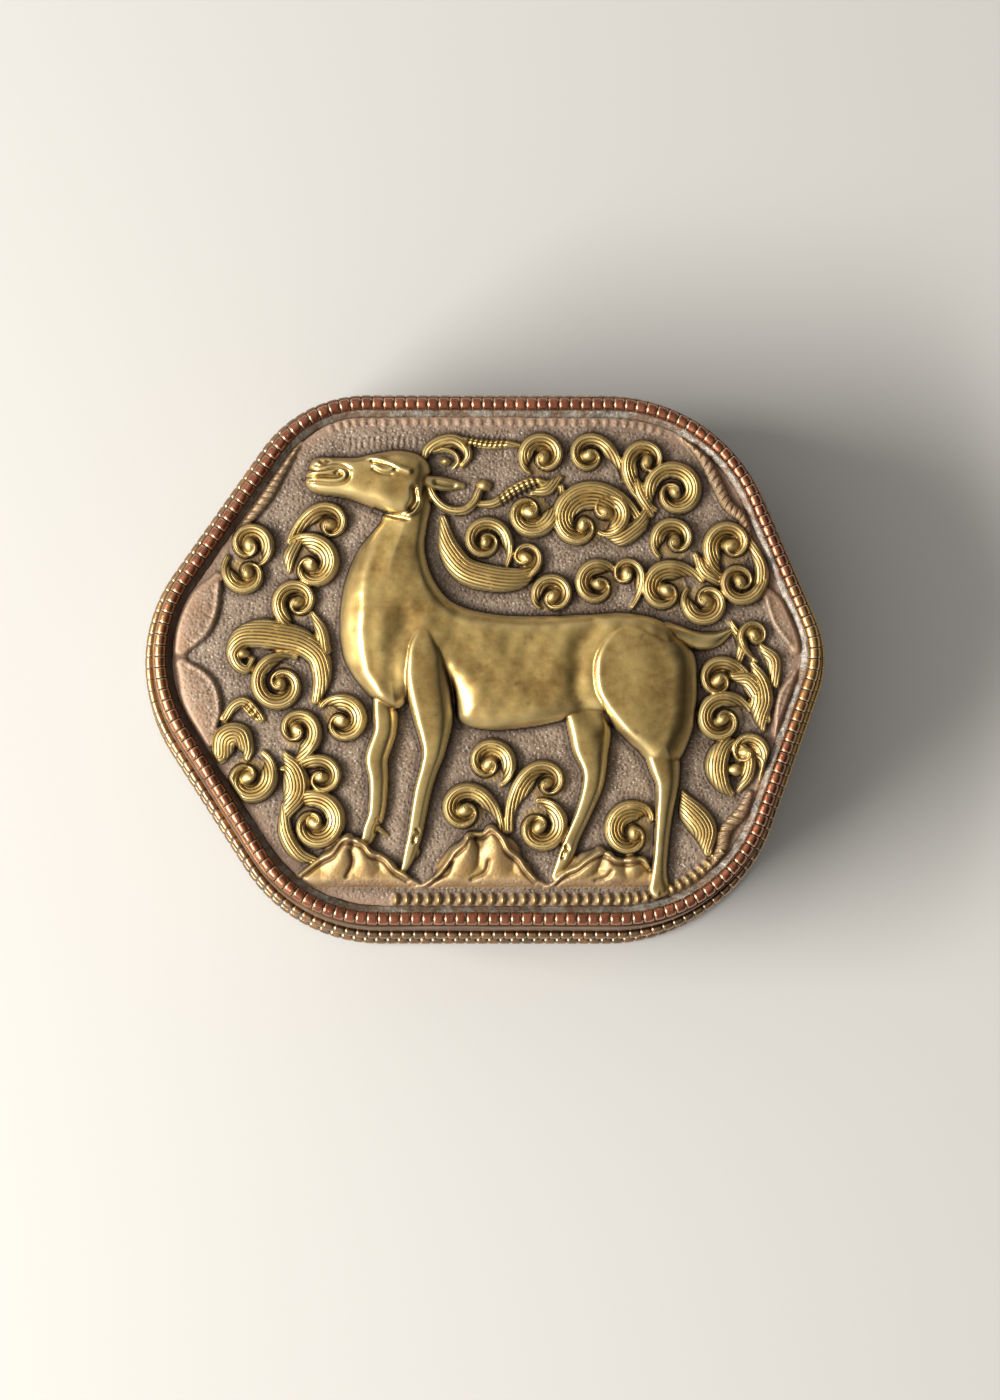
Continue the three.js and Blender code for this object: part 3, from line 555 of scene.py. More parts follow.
# Leaves and stems: rows of [x, y, half width, height].
LEAVES = [
    [[-28.4, -6.6, 0.9, 1.1], [-27.4, -3, 1.7, 1.7], [-28, 0.6, 2.1, 2], [-30.6, 2.9, 2.4, 2.1],
     [-34.2, 4, 2.7, 2.2], [-37.6, 4.3, 2.6, 2.2], [-40.6, 3.5, 2, 2.1], [-42, 1.2, 1.3, 1.8],
     [-41.2, -0.8, 1.1, 1.6], [-39.6, -1.4, 0.9, 1.4], [-38.8, 0.2, 0.6, 1.1]],
    [[-28.9, 7.8, 0.5, 0.9], [-27.6, 5, 1.2, 1.6], [-27, 1.6, 1.3, 1.8]],
    [[-44.2, -15.6, 1.6, 1.2], [-43, -13.2, 2.6, 2], [-41, -12.6, 2.3, 2.2], [-39.6, -14.6, 1.3, 1.6],
     [-39.6, -16.2, 0.7, 1]],
    [[-43.4, -9.6, 0.8, 0.9], [-41.9, -7.6, 1, 1.2], [-40.2, -6.9, 1, 1.3], [-38.9, -8.2, 1.2, 1.3],
     [-37.4, -9.7, 0.8, 0.8]],
    [[-33.4, -24, 0.8, 1.1], [-33.2, -28.6, 1.4, 1.6], [-31, -32, 1.3, 1.4], [-27.6, -33, 0.5, 0.8]],
    [[-33.4, -15.4, 0.6, 1], [-31.9, -18.2, 2, 1.7], [-31.6, -21.8, 2.3, 1.8], [-33, -25.4, 1, 1.3]],
    [[-31, 20, 0.8, 1], [-32.7, 17.4, 1.2, 1.4], [-32.8, 14.7, 0.5, 0.8]],
    [[-7.4, 23.6, 0.7, 1], [-6.4, 18.6, 1.9, 1.8], [-3.8, 15, 2.4, 2.1], [0.6, 13.6, 2.4, 2.2],
     [4.8, 13.6, 2, 2], [8, 15.2, 1, 1.3]],
    [[27, 24.4, 0.8, 1], [25.4, 27.8, 1.4, 1.6], [24, 31, 0.6, 0.9]],
    [[12, 30.4, 0.6, 0.8], [9.8, 28.6, 1.3, 1.3], [7.4, 27.8, 0.6, 0.8]],
    [[43.2, 20.6, 0.6, 0.9], [45.4, 15.8, 1.3, 1.5], [44.9, 11.4, 1.2, 1.3], [42.7, 9.8, 0.5, 0.8]],
    [[45.4, 2.4, 0.7, 0.9], [47.3, 0, 1.4, 1.4], [47.7, -4, 0.7, 0.8]],
    [[43.9, -0.4, 0.6, 1], [45.2, -3.2, 1.5, 1.6], [45.3, -6.4, 2.2, 1.9], [45.2, -9.2, 1.5, 1.6],
     [45.6, -11.4, 0.5, 0.9]],
    [[41.6, -13.2, 0.6, 1.2], [39, -14.4, 1.7, 2], [37.8, -17.4, 2.1, 2.2], [38.8, -20.4, 1.5, 1.8],
     [40.4, -22, 0.6, 0.9]],
    [[41.4, -13.4, 0.6, 1], [43.2, -15.8, 1.2, 1.6], [43, -19, 1.1, 1.4], [41.6, -21.4, 0.5, 0.8]],
    [[40.6, -2.5, 0.8, 1.2], [43.2, -3.3, 1.6, 1.6], [45.1, -6.3, 1.7, 1.7], [46.3, -9.7, 0.8, 1]],
    [[44.4, -14.2, 0.8, 1.1], [46, -16.6, 1.4, 1.5], [45.9, -19.4, 1, 1.2], [44.8, -21.6, 0.4, 0.8]],
    [[32.2, -21.8, 0.5, 0.8], [33.6, -24.8, 2.2, 1.8], [35.8, -28, 2.3, 1.8], [36.4, -31.6, 0.9, 1]],
    [[20, 20.6, 0.6, 1], [22.4, 20.4, 1.5, 1.6], [25.2, 22.6, 1.4, 1.6], [26.4, 25.4, 0.6, 1]],
    [[38.6, 12.8, 0.7, 1], [36, 15, 1.3, 1.5], [34.4, 17.6, 0.6, 0.9]],
    [[40.4, 6.4, 0.5, 0.8], [42, 2.6, 1, 1.2], [41.4, -1, 0.6, 0.8]],
]

# Eyes of curls that are not scrolls of their own.
LONE_EYES = [(-40.5, 1.1, 1.3), (-7, 33, 0.9), (-0.7, 29, 1.3), (41, -18, 1.5)]

# Smooth copper-brown petals that stand in from the flange at both ends of the panel.
BORDER_LOBES = [
    [[-44.6, 13.8, 0.9, 0.7], [-47, 9.4, 3, 1], [-49, 5.4, 3.2, 1], [-50.6, 2, 1.4, 0.7]],
    [[-50.4, -0.6, 1.2, 0.7], [-48, -4.4, 3.2, 1], [-46.8, -8.6, 3.1, 1], [-46.2, -13.4, 1.1, 0.7]],
    [[46.4, 11.4, 1, 0.7], [49, 7.2, 2.3, 1], [51.2, 2.4, 1.3, 0.8]],
    [[51.4, -2.4, 1.1, 0.7], [50.2, -6, 2.3, 1], [49.3, -10.6, 2.1, 1], [48.8, -15.2, 0.7, 0.7]],
]

# Ropes of the border, twisted at the pitch given: rows of [x, y, half width, height].
ROPES = [
    (1.5, [[-30.6, 38, 0.6, 1], [-34.6, 31, 1.1, 1.4], [-37.2, 26.4, 1.1, 1.4], [-41.6, 20.8, 0.7, 1]]),
    (1.3, [[31.4, 38.8, 0.6, 1], [35.6, 34, 1, 1.5], [38, 29.6, 1.1, 1.5], [39.8, 26, 1.1, 1.5],
           [42.4, 23.6, 1, 1.4], [43.6, 20.2, 0.5, 0.8]]),
    (1.4, [[43.4, -22, 0.7, 1.1], [42, -25, 1.1, 1.5], [39.4, -28, 1.1, 1.5], [38.6, -31.2, 1, 1.4],
           [36.2, -35.4, 0.6, 1]]),
]

# Rocks: the outline of each heap from left to right, facets that rise to its peaks as rows of
# [x, y, half width, height], and arcs chased at their feet.
ROCKS = [
    {"outline": [(-33, -38), (-31.4, -35.4), (-27.6, -32.4), (-25.4, -31.2), (-23.6, -28.9),
                 (-20.6, -29.7), (-19.4, -31.2), (-17.2, -31.9), (-15.4, -33.9), (-13.2, -35.2),
                 (-11.8, -38)],
     "facets": [
         [[-23, -29.6, 1.3, 2.1], [-24.2, -32.6, 3.2, 2.3], [-26, -35.6, 3.6, 1.3]],
         [[-21.6, -30.2, 1.3, 1.9], [-20.4, -33, 3, 2], [-19.6, -35.8, 3.6, 1.2]],
         [[-18, -32.6, 1, 1.4], [-16.4, -34.4, 1.8, 1.4], [-14.8, -36, 1.4, 0.9]]],
     "arcs": [[(-22.6, -31.4), (-22.3, -33.4), (-23.2, -35.6)]]},
    {"outline": [(-12, -38), (-10.4, -36.6), (-8.2, -34.9), (-6.2, -32.5), (-5.4, -31.1), (-3.6, -29.5),
                 (-3, -28.2), (-0.8, -28.1), (0.6, -27.2), (2.2, -28.7), (3.2, -30.7), (5, -32.1),
                 (6, -33.7), (7.8, -35.6), (9.4, -38)],
     "facets": [
         [[-3, -29.5, 1.2, 2.2], [-3.6, -31.7, 2.8, 2.5], [-5.2, -35.1, 3.6, 1.3]],
         [[0.6, -28.3, 1.4, 2], [1.4, -31.3, 3.8, 2.3], [2, -35.3, 4.6, 1.2]],
         [[4.2, -32.3, 1, 1.4], [5.4, -34.5, 1.9, 1.4], [6.8, -36.3, 1.4, 0.9]]],
     "arcs": [[(0.2, -33.1), (-0.4, -34.9), (-2.6, -36.1)],
              [(-6, -33.3), (-6.6, -35.1), (-8.6, -36.1)]]},
    {"outline": [(9.8, -38), (10.8, -36.4), (12.8, -34.6), (14.8, -33.7), (16.2, -32.6), (18.6, -31.2),
                 (20, -31.5), (21, -32.3), (23.2, -32.5), (25.4, -32.2), (26.6, -33.5), (26.8, -38)],
     "facets": [
         [[18.4, -31.7, 1.2, 2], [16.4, -33.7, 2.4, 2.1], [13.2, -35.8, 2, 1.1]],
         [[19.8, -32.6, 1.4, 2], [20.4, -34.6, 3.6, 2], [19.6, -36.3, 3.8, 1.1]],
         [[23.6, -33.1, 1.4, 1.8], [24, -34.6, 2.6, 1.8], [24.4, -36.3, 2.4, 1]]],
     "arcs": [[(20.4, -34.8), (19.6, -35.8), (17.8, -36.3)]]},
]

# Where a notch is chased over a hoof.
HOOVES = [(-12.1, -29), (12.3, -31.6), (-18.6, -27.4)]

# Teeth of the front edge: their pitch, and rows of distance in from the rim, half width, height.
TOOTH_PITCH = 1.75
TOOTH = [(4.7, 0.6, 0.9), (4.2, 0.85, 1.5), (3.4, 0.7, 1.2), (2.9, 0.35, 0.6)]


def placed(rows, scale=1.0):
    """Rows of [x, y, half width, height] in the box's own frame, with the height scaled."""
    made = np.array(rows, dtype=float)
    made[:, :2] -= PLAN_MIDDLE
    made[:, 3] *= scale
    return made


def scroll_line(eye_x, eye_y, start_x, start_y, turn, coil, width, tighten=1.8):
    """Middle line of a scroll's band: a short tail, a coil, and a hook that ends in its eye."""
    reach = math.hypot(start_x - eye_x, start_y - eye_y)
    start = math.atan2(start_y - eye_y, start_x - eye_x)
    along = np.linspace(0, 1, max(24, int(abs(turn) / 7)))
    turned = along * abs(turn)
    angle = start + math.radians(turn) * along
    outer = coil - (coil - EYE_RADIUS - 0.7) * along ** tighten + (reach - coil) * np.exp(-turned / 32)
    room = np.clip((outer - EYE_RADIUS - 0.1) / 2, 0.3, width / 2)
    half = room * (0.35 + 0.65 * between(turned, 0, 70))
    radius = outer - half
    height = SCROLL_HEIGHT * (0.5 + 0.5 * between(turned, 0, 60)) * (1 - 0.25 * along ** 3)
    hook = np.linspace(0, 1, 8)[1:]
    angle = np.append(angle, angle[-1] + math.copysign(1.5, turn) * hook)
    radius, half, height = [
        np.append(values, values[-1] + (last - values[-1]) * hook)
        for values, last in ((radius, 0.4), (half, 0.8), (height, SCROLL_HEIGHT))]
    x = eye_x - PLAN_MIDDLE[0] + radius * np.cos(angle)
    y = eye_y - PLAN_MIDDLE[1] + radius * np.sin(angle)
    return np.column_stack([x, y, half, height])


def raise_rock(relief, rock):
    """A heap of facets inside a raised lip along its upper edge, running out at its foot."""
    upper = rock["outline"]
    before = relief.height.copy()
    relief.raise_island(upper, lambda x, y: 1.1, lambda x, y: 0.7, copper=0.1)
    for rows in rock["facets"]:
        relief.raise_rows(rows, flat=1.45, copper=0.3)
    for arc in rock["arcs"]:
        relief.chase(arc, 0.3, 0.5)
    for drop, width, depth in ((0.45, 0.38, -0.75), (1.25, 0.22, 0.55)):
        relief.chase([(x, y - drop) for x, y in upper[1:-1]], width, depth)
    foot = min(y for _, y in upper) - PLAN_MIDDLE[1]
    raised = relief.height - before
    relief.height = before + raised * between(relief.Y, foot - 0.3, foot + 2.2)
    soiled = 0.7 * (1 - between(relief.Y, foot + 0.5, foot + 4))
    relief.copper = np.where(raised > 0.05, np.maximum(relief.copper, soiled), relief.copper)


def border_beads(relief):
    """Pointed teeth along the front of the panel and low nubs along its back."""
    for x, y, out_x, out_y in stations(int(PERIMETER / TOOTH_PITCH)):
        if y < -33.5 and x > -16:
            tooth = [[x - d * out_x, y - d * out_y, half, height] for d, half, height in TOOTH]
            relief.raise_form(np.array(tooth), tent=True, ridge=0.25, copper=0.25)
        if y > 36 and -28 < x < 31:
            nub = [[x - d * out_x, y - d * out_y, 0.45, 0.24] for d in (4.1, 3)]
            relief.raise_form(np.array(nub), flat=3.0, copper=1.0)


def raise_lobe(relief, rows):
    """A border petal with a raised lip along its inner side and short strokes across the lip."""
    line = smooth_line(placed(rows))
    relief.raise_form(line, flat=3.0, copper=1.0)
    inward = -math.copysign(1, rows[0][0])
    normal = np.column_stack([np.gradient(line[:, 1]), -np.gradient(line[:, 0])])
    normal *= np.sign(normal[:, :1] * inward) / np.linalg.norm(normal, axis=1)[:, None]
    lip = line[:, :2] + normal * (line[:, 2:3] - 0.6) + PLAN_MIDDLE
    relief.chase(lip[2:-2:4], 0.4, -0.35)
    for k in range(5, len(line) - 4, 4):
        relief.chase([lip[k], lip[k] - 1.3 * normal[k]], 0.14, 0.16)


def body_height(x, y):
    """Neck and trunk: fullest at the chest, lower at the throat and a little uneven."""
    chest = np.exp(-(((x + 17) / 7) ** 2) - ((y - 2) / 10) ** 2)
    throat = between(y, 14, 27)
    swell = 0.05 * ripple(x, y, 11, 4) + 0.022 * ripple(x, y, 4.5, 9) + 0.009 * ripple(x, y, 2.4, 12)
    return DEER_HEIGHT * (0.86 + 0.15 * chest - 0.3 * throat + swell)


def body_rounding(x, y):
    """Shoulders are broad on the chest and the front of the belly, and tight elsewhere."""
    chest = between(-x, 10.5, 16) * between(y, -9, -1)
    belly = np.exp(-(((x + 3.5) / 5.5) ** 2) - ((y + 6.5) / 7) ** 2)
    return 2.8 + 4.6 * chest + 3.2 * belly


def haunch_height(x, y):
    back = 0.16 * between(y, 0.5, 6.5)
    swell = 0.03 * ripple(x, y, 9, 6) + 0.008 * ripple(x, y, 2.6, 3)
    return DEER_HEIGHT * (1.04 + swell - 0.1 * between(x, 24, 34) - back)


def haunch_rounding(x, y):
    return 1.7 + 3.2 * between(x, 23, 32)


def head_height(x, y):
    return DEER_HEIGHT * (0.86 - 0.22 * between(-x, 17, 30) + 0.03 * ripple(x, y, 6, 2))


def head_rounding(x, y):
    return 3.2 - 0.9 * between(-x, 18, 28)


def raise_limbs(relief, limbs):
    for flat, ridge, rows in limbs:
        relief.raise_rows(rows, DEER_HEIGHT, flat=flat, ridge=ridge, deer=1.0)


def panel_relief():
    relief = Relief()
    raise_limbs(relief, LIMBS_BEHIND)
    relief.raise_island(BODY, body_height, body_rounding, deer=1.0)
    relief.raise_island(HAUNCH, haunch_height, haunch_rounding, deer=1.0)
    raise_limbs(relief, LIMBS_BEFORE)
    relief.raise_island(HEAD, head_height, head_rounding, deer=1.0)
    for rows in ANTLERS:
        relief.raise_rows(rows, flat=2.0, pitch=ANTLER_STROKE_PITCH)
    for scroll in SCROLLS:
        relief.raise_dish(*scroll[:2], min(0.74 * scroll[5], 3.8), 0.3)
    for scroll in SCROLLS:
        outward = -0.3 * math.copysign(1, scroll[4])
        relief.raise_form(scroll_line(*scroll), flat=2.2, ridge=outward, dish=0.5, pitch=STROKE_PITCH)
    for x, y, *_ in SCROLLS:
        radius = EYE_RADIUS + 0.2 + 0.16 * math.sin(3 * x)
        top = SCROLL_HEIGHT * (0.94 + 0.08 * math.sin(5 * y))
        relief.raise_ball(x, y, radius, top, x + 2 * y)
    for rows in LEAVES:
        relief.raise_rows(rows, flat=2.3, pitch=STROKE_PITCH)
    for x, y, radius in LONE_EYES:
        relief.raise_ball(x, y, radius, 0.8 * SCROLL_HEIGHT)
    for rows in BORDER_LOBES:
        raise_lobe(relief, rows)
    for pitch, rows in ROPES:
        relief.raise_rows(rows, flat=2.2, twist=pitch, copper=0.6)
    for rock in ROCKS:
        raise_rock(relief, rock)
    border_beads(relief)
    for points, width, depth in DEER_LINES:
        relief.chase(points, width, depth)
    for x, y in HOOVES:
        relief.chase([(x + 0.5, y + 1.1), (x + 0.8, y + 0.4), (x + 0.2, y), (x, y - 1)], 0.2, 0.6)

    # Short cuts across two antler tips, dots on a leaf, and fine cuts behind the head.
    for k in range(8):
        relief.chase([(-3.4 + 0.85 * k, 35.6), (-2.9 + 0.85 * k, 37.2)], 0.17, 0.6)
        relief.chase([(1.9 + 0.83 * k, 27.6 + 0.4 * k), (2.6 + 0.83 * k, 26 + 0.4 * k)], 0.17, 0.6)
    for x, y in ((-39.8, -7.8), (-39, -8.6), (-38.2, -9.4)):
        relief.chase([(x, y), (x + 0.3, y + 0.3)], 0.3, 0.7)
    for k in range(12):
        relief.chase([(-22.6 + k, 35.4), (-22.5 + k, 37.2)], 0.14, 0.28)
    relief.height = np.maximum(relief.height, -0.25)
    relief.height = 0.4 * relief.height + 0.6 * soften(relief.height, 0.15)
    return relief


def panel_surfaces(relief):
    """Heights of the panel's front and reverse, and the masks that its finish reads."""
    X, Y = relief.X, relief.Y
    raised = np.clip(relief.height / 0.5, 0, 1)
    near_forms = soften(raised, 0.7)
    middle_share = 1 - (X / PLAN_HALF[0]) ** 2 - (Y / PLAN_HALF[1]) ** 2
    dome = PANEL_TOP + GROUND_DOME * np.clip(middle_share, 0, 1)
    uneven = 0.05 * ripple(X, Y, 9, 3) + 0.03 * ripple(X, Y, 4, 5)
    inside_flange = outline_radius(np.arctan2(Y, X), FIELD_EDGE) - np.hypot(X, Y)
    field = np.clip(inside_flange / 1.5, 0, 1)
    moat = 0.22 * near_forms * (1 - raised)
    front = dome + field * (uneven - moat) + relief.height * np.clip(inside_flange / 0.6, 0, 1)
    reverse = dome + smallest_near(relief.height, 6) * field - PANEL_SHEET
    hollow = np.clip((soften(front, 0.8) - front) / 0.7, 0, 1)
    crest = np.clip((front - soften(front, 0.45)) / 0.16, 0, 1) * raised
    slope_y, slope_x = np.gradient(soften(front, 0.2), GRID)
    # Steep flanks, darkened in the finish partly as patina and partly as painted shade; on the deer,
    # slopes that face right are added as painted shade.
    flank_patina_and_shade = np.clip((np.hypot(slope_x, slope_y) - 0.5) / 1.2, 0, 1)
    flank_patina_and_shade = np.maximum(flank_patina_and_shade, np.clip((-0.45 - slope_x) / 0.7, 0, 1) * relief.deer)
    masks = {
        "relief": raised,
        "hollow": hollow * (1 - 0.45 * relief.engraved * raised),
        "crest": crest,
        "flank_patina_and_shade": flank_patina_and_shade,
        # Slopes that face right, away from the lamp: painted shade, made duller and darker in the
        # finish.
        "right_side_shade": np.clip((-0.5 - slope_x) / 0.8, 0, 1) * raised,
        "engrave": relief.engrave,
        "engraved": relief.engraved * raised,
        "deer": relief.deer * raised,
        "copper": relief.copper * raised,
        "border": np.clip(1.2 - inside_flange / 2.2, 0, 1),
    }
    return front, reverse, masks


def panel_cells(relief):
    """Which cells of the grid lie on the panel."""
    x = (relief.X[:-1, :-1] + relief.X[1:, 1:]) / 2
    y = (relief.Y[:-1, :-1] + relief.Y[1:, 1:]) / 2
    return np.hypot(x, y) < outline_radius(np.arctan2(y, x), PANEL_EDGE)


def cell_corners(index):
    """Vertex numbers at the four corners of every cell, counter-clockwise from above."""
    return index[:-1, :-1], index[:-1, 1:], index[1:, 1:], index[1:, :-1]


def coarse_faces(cells, index):
    """Faces over cells, seen from below, in blocks wherever a whole block is covered."""
    wide = BACK_CELLS
    blocks = cells.reshape(cells.shape[0] // wide, wide, cells.shape[1] // wide, wide)
    full = blocks.all(axis=(1, 3))
    loose = cells & ~np.repeat(np.repeat(full, wide, axis=0), wide, axis=1)
    faces = np.stack([corner[loose] for corner in cell_corners(index)[::-1]], axis=1).tolist()
    guard = np.pad(full, 1)
    for j, i in np.argwhere(full):
        loop = []
        y0, x0 = j * wide, i * wide
        sides = [
            (guard[j + 1, i], [(y0 + k, x0) for k in range(wide)]),
            (guard[j + 2, i + 1], [(y0 + wide, x0 + k) for k in range(wide)]),
            (guard[j + 1, i + 2], [(y0 + wide - k, x0 + wide) for k in range(wide)]),
            (guard[j, i + 1], [(y0, x0 + wide - k) for k in range(wide)]),
        ]
        for neighbour_full, points in sides:
            loop += points[:1] if neighbour_full else points
        faces.append([int(index[p]) for p in loop])
    return faces


def panel_piece(name, relief, front, reverse, masks, cells, material):
    """One part of the panel, closed: fine front, coarse hollow reverse and walls between."""
    index = np.arange(front.size).reshape(front.shape)
    total = front.size
    X = relief.X.copy()
    Y = relief.Y.copy()
    angles = np.arctan2(Y, X)
    whole = np.pad(panel_cells(relief), 1)
    touching = [whole[:-1, :-1], whole[1:, :-1], whole[:-1, 1:], whole[1:, 1:]]
    rim = np.any(touching, axis=0) & ~np.all(touching, axis=0)
    edge = outline_radius(angles[rim], PANEL_EDGE)
    X[rim] = edge * np.cos(angles[rim])
    Y[rim] = edge * np.sin(angles[rim])

    a, b, c, d = cell_corners(index)
    front_faces = np.stack([a[cells], b[cells], c[cells], d[cells]], axis=1)
    faces = front_faces.tolist() + coarse_faces(cells, index + total)
    bordered = np.pad(cells, 1)
    for (dj, di), (start, end) in {
        (-1, 0): (b, a), (0, 1): (c, b), (1, 0): (d, c), (0, -1): (a, d),
    }.items():
        beyond = bordered[1 + dj:bordered.shape[0] - 1 + dj, 1 + di:bordered.shape[1] - 1 + di]
        open_side = cells & ~beyond
        s, e = start[open_side], end[open_side]
        faces += np.stack([s, e, total + e, total + s], axis=1).tolist()

    used = np.unique(np.concatenate(faces))
    renumber = np.full(2 * total, -1)
    renumber[used] = np.arange(len(used))
    vertices = np.concatenate([
        np.column_stack([X.ravel(), Y.ravel(), side.ravel()]) for side in (front, reverse)])[used]
    piece = make_object(name, vertices, [renumber[face].tolist() for face in faces], material)
    mesh = piece.data
    for key, values in masks.items():
        attribute = mesh.attributes.new(key, "FLOAT", "POINT")
        flat = np.where(used < total, values.ravel()[used % total], 0)
        attribute.data.foreach_set("value", flat.astype(np.float32))

    slope_y, slope_x = np.gradient(front, GRID)
    normal = np.stack([-slope_x, -slope_y, np.ones_like(front)], axis=-1).reshape(-1, 3)
    normal /= np.linalg.norm(normal, axis=1)[:, None]
    loops = np.zeros((len(mesh.loops), 3))
    loops[:front_faces.size] = normal[front_faces.ravel()]
    mesh.normals_split_custom_set(loops.tolist())
    return piece


# Node trees

COLOUR = "NodeSocketColor"
VALUE = "NodeSocketFloat"
VECTOR = "NodeSocketVector"


def srgb(red, green, blue):
    """Colour from 8-bit screen values."""
    def linear(value):
        share = value / 255
        return share / 12.92 if share <= 0.04045 else ((share + 0.055) / 1.055) ** 2.4
    return (linear(red), linear(green), linear(blue), 1.0)


class Flow:
    """A node's output, with the sums and nodes that take it further."""

    def __init__(self, tree, socket):
        self.tree = tree
        self.socket = socket

    def node(self, kind, output, inputs, **settings):
        return add_node(self.tree, kind, output, inputs, **settings)

    def then(self, operation, other=0.0, clamp=False):
        return self.node("ShaderNodeMath", 0, {0: self, 1: other}, operation=operation, use_clamp=clamp)

    def __add__(self, other):
        return self.then("ADD", other)

    def __mul__(self, other):
        return self.then("MULTIPLY", other)

    def __sub__(self, other):
        return self.then("SUBTRACT", other)

    def __rsub__(self, other):
        return self.node("ShaderNodeMath", 0, {0: other, 1: self}, operation="SUBTRACT")

    def spread(self, low, high, to_low=0.0, to_high=1.0):
        """Stretches a value from low..high to to_low..to_high, and no further."""
        return self.node("ShaderNodeMapRange", "Result", {
            "Value": self, "From Min": low, "From Max": high, "To Min": to_low, "To Max": to_high})

    def colour(self, a, b):
        """From colour a to colour b as this value goes from 0 to 1."""
        return self.node("ShaderNodeMix", 2, {0: self, 6: a, 7: b}, data_type="RGBA")

    def value(self, a, b):
        """From number a to number b as this value goes from 0 to 1."""
        return self.node("ShaderNodeMix", 0, {0: self, 2: a, 3: b}, data_type="FLOAT")

    def noise(self, per_metre, detail, roughness=0.55):
        return self.node("ShaderNodeTexNoise", "Fac", {
            "Vector": self, "Scale": per_metre, "Detail": detail, "Roughness": roughness})

    def across(self):
        """The X of a place."""
        return self.node("ShaderNodeSeparateXYZ", "X", {"Vector": self})

    def read(self, attribute):
        return self.node("ShaderNodeAttribute", "Fac", {}, attribute_name=attribute)

    def bump(self, distance):
        return self.node("ShaderNodeBump", "Normal", {
            "Height": self, "Distance": distance, "Strength": 1.0})


def fill(sockets, values):
    """Links or sets each named socket."""
    for key, value in values.items():
        if isinstance(value, Flow):
            value.tree.links.new(value.socket, sockets[key])
        else:
            sockets[key].default_value = value


def add_node(tree, kind, output, inputs, **settings):
    """Adds a node and returns the output that is named or numbered."""
    made = tree.nodes.new(kind)
    for key, value in settings.items():
        setattr(made, key, value)
    fill(made.inputs, inputs)
    return Flow(tree, made.outputs[output])


def node_group(name, kind, inputs, outputs):
    """A node group, its inputs and its output sockets; both map a socket's name to its kind."""
    tree = bpy.data.node_groups.new(name, kind)
    for in_out, sockets in (("INPUT", inputs), ("OUTPUT", outputs)):
        for key, socket_kind in sockets.items():
            tree.interface.new_socket(key, in_out=in_out, socket_type=socket_kind)
    given = tree.nodes.new("NodeGroupInput").outputs
    flows = [Flow(tree, given[key]) for key in inputs]
    return tree, flows, tree.nodes.new("NodeGroupOutput").inputs


def patina_group():
    """Cloudy tarnish over bright metal, at two scales, with a few dark spots."""
    tree, (place, bright, dull, dark, scale, tarnish), out = node_group("patina", "ShaderNodeTree", {
        "Place": VECTOR, "Bright": COLOUR, "Dull": COLOUR, "Dark": COLOUR,
        "Cloud": VALUE, "Tarnish": VALUE,
    }, {"Colour": COLOUR, "Tarnished": VALUE})
    blotch = place.noise(scale, 6, 0.6) * 0.72 + place.noise(scale * 7, 4, 0.65) * 0.28
    low = 0.86 - tarnish * 0.6
    tarnished = blotch.spread(low - 0.22, low)
    spots = place.noise(scale * 2.6, 3).spread(0.63, 0.72) * tarnish
    clouded = (1.0 - tarnished).colour(dull, bright)
    fill(out, {"Colour": spots.colour(clouded, dark), "Tarnished": tarnished})
    return tree


def sheet_group():
    """Height of hand-worked sheet: broad hammering, fine rolling marks and small pits."""
    tree, (place, hammer, grain), out = node_group("worked_sheet", "ShaderNodeTree", {
        "Place": VECTOR, "Hammer": VALUE, "Grain": VALUE,
    }, {"Height": VALUE})
    stretched = place.node("ShaderNodeMapping", 0, {"Vector": place, "Scale": (1.0, 5.0, 5.0)})
    pits = place.noise(1500, 2).spread(0.62, 0.75)
    fine = stretched.noise(900, 4, 0.7) * 0.25 - pits * 0.3
    fill(out, {"Height": place.noise(260, 2) * hammer + fine * grain})
    return tree


PATINA = patina_group()
WORKED_SHEET = sheet_group()


def use_group(place, group, inputs):
    """Adds a group's node for a place and returns its outputs."""
    made = place.tree.nodes.new("ShaderNodeGroup")
    made.node_tree = group
    fill(made.inputs, {"Place": place, **inputs})
    return [Flow(place.tree, socket) for socket in made.outputs]


def patina(place, colours, cloud, tarnish):
    """Colour of aged metal and where it is tarnished; colours are bright, dull and dark."""
    bright, dull, dark = colours
    return use_group(place, PATINA, {
        "Bright": bright, "Dull": dull, "Dark": dark, "Cloud": cloud, "Tarnish": tarnish})


def worked_sheet(place, hammer, grain):
    return use_group(place, WORKED_SHEET, {"Hammer": hammer, "Grain": grain})[0]


def new_material(name):
    material = bpy.data.materials.new(name)
    material.use_nodes = True
    tree = material.node_tree
    place = add_node(tree, "ShaderNodeTexCoord", "Object", {})
    return material, tree.nodes["Principled BSDF"].inputs, place


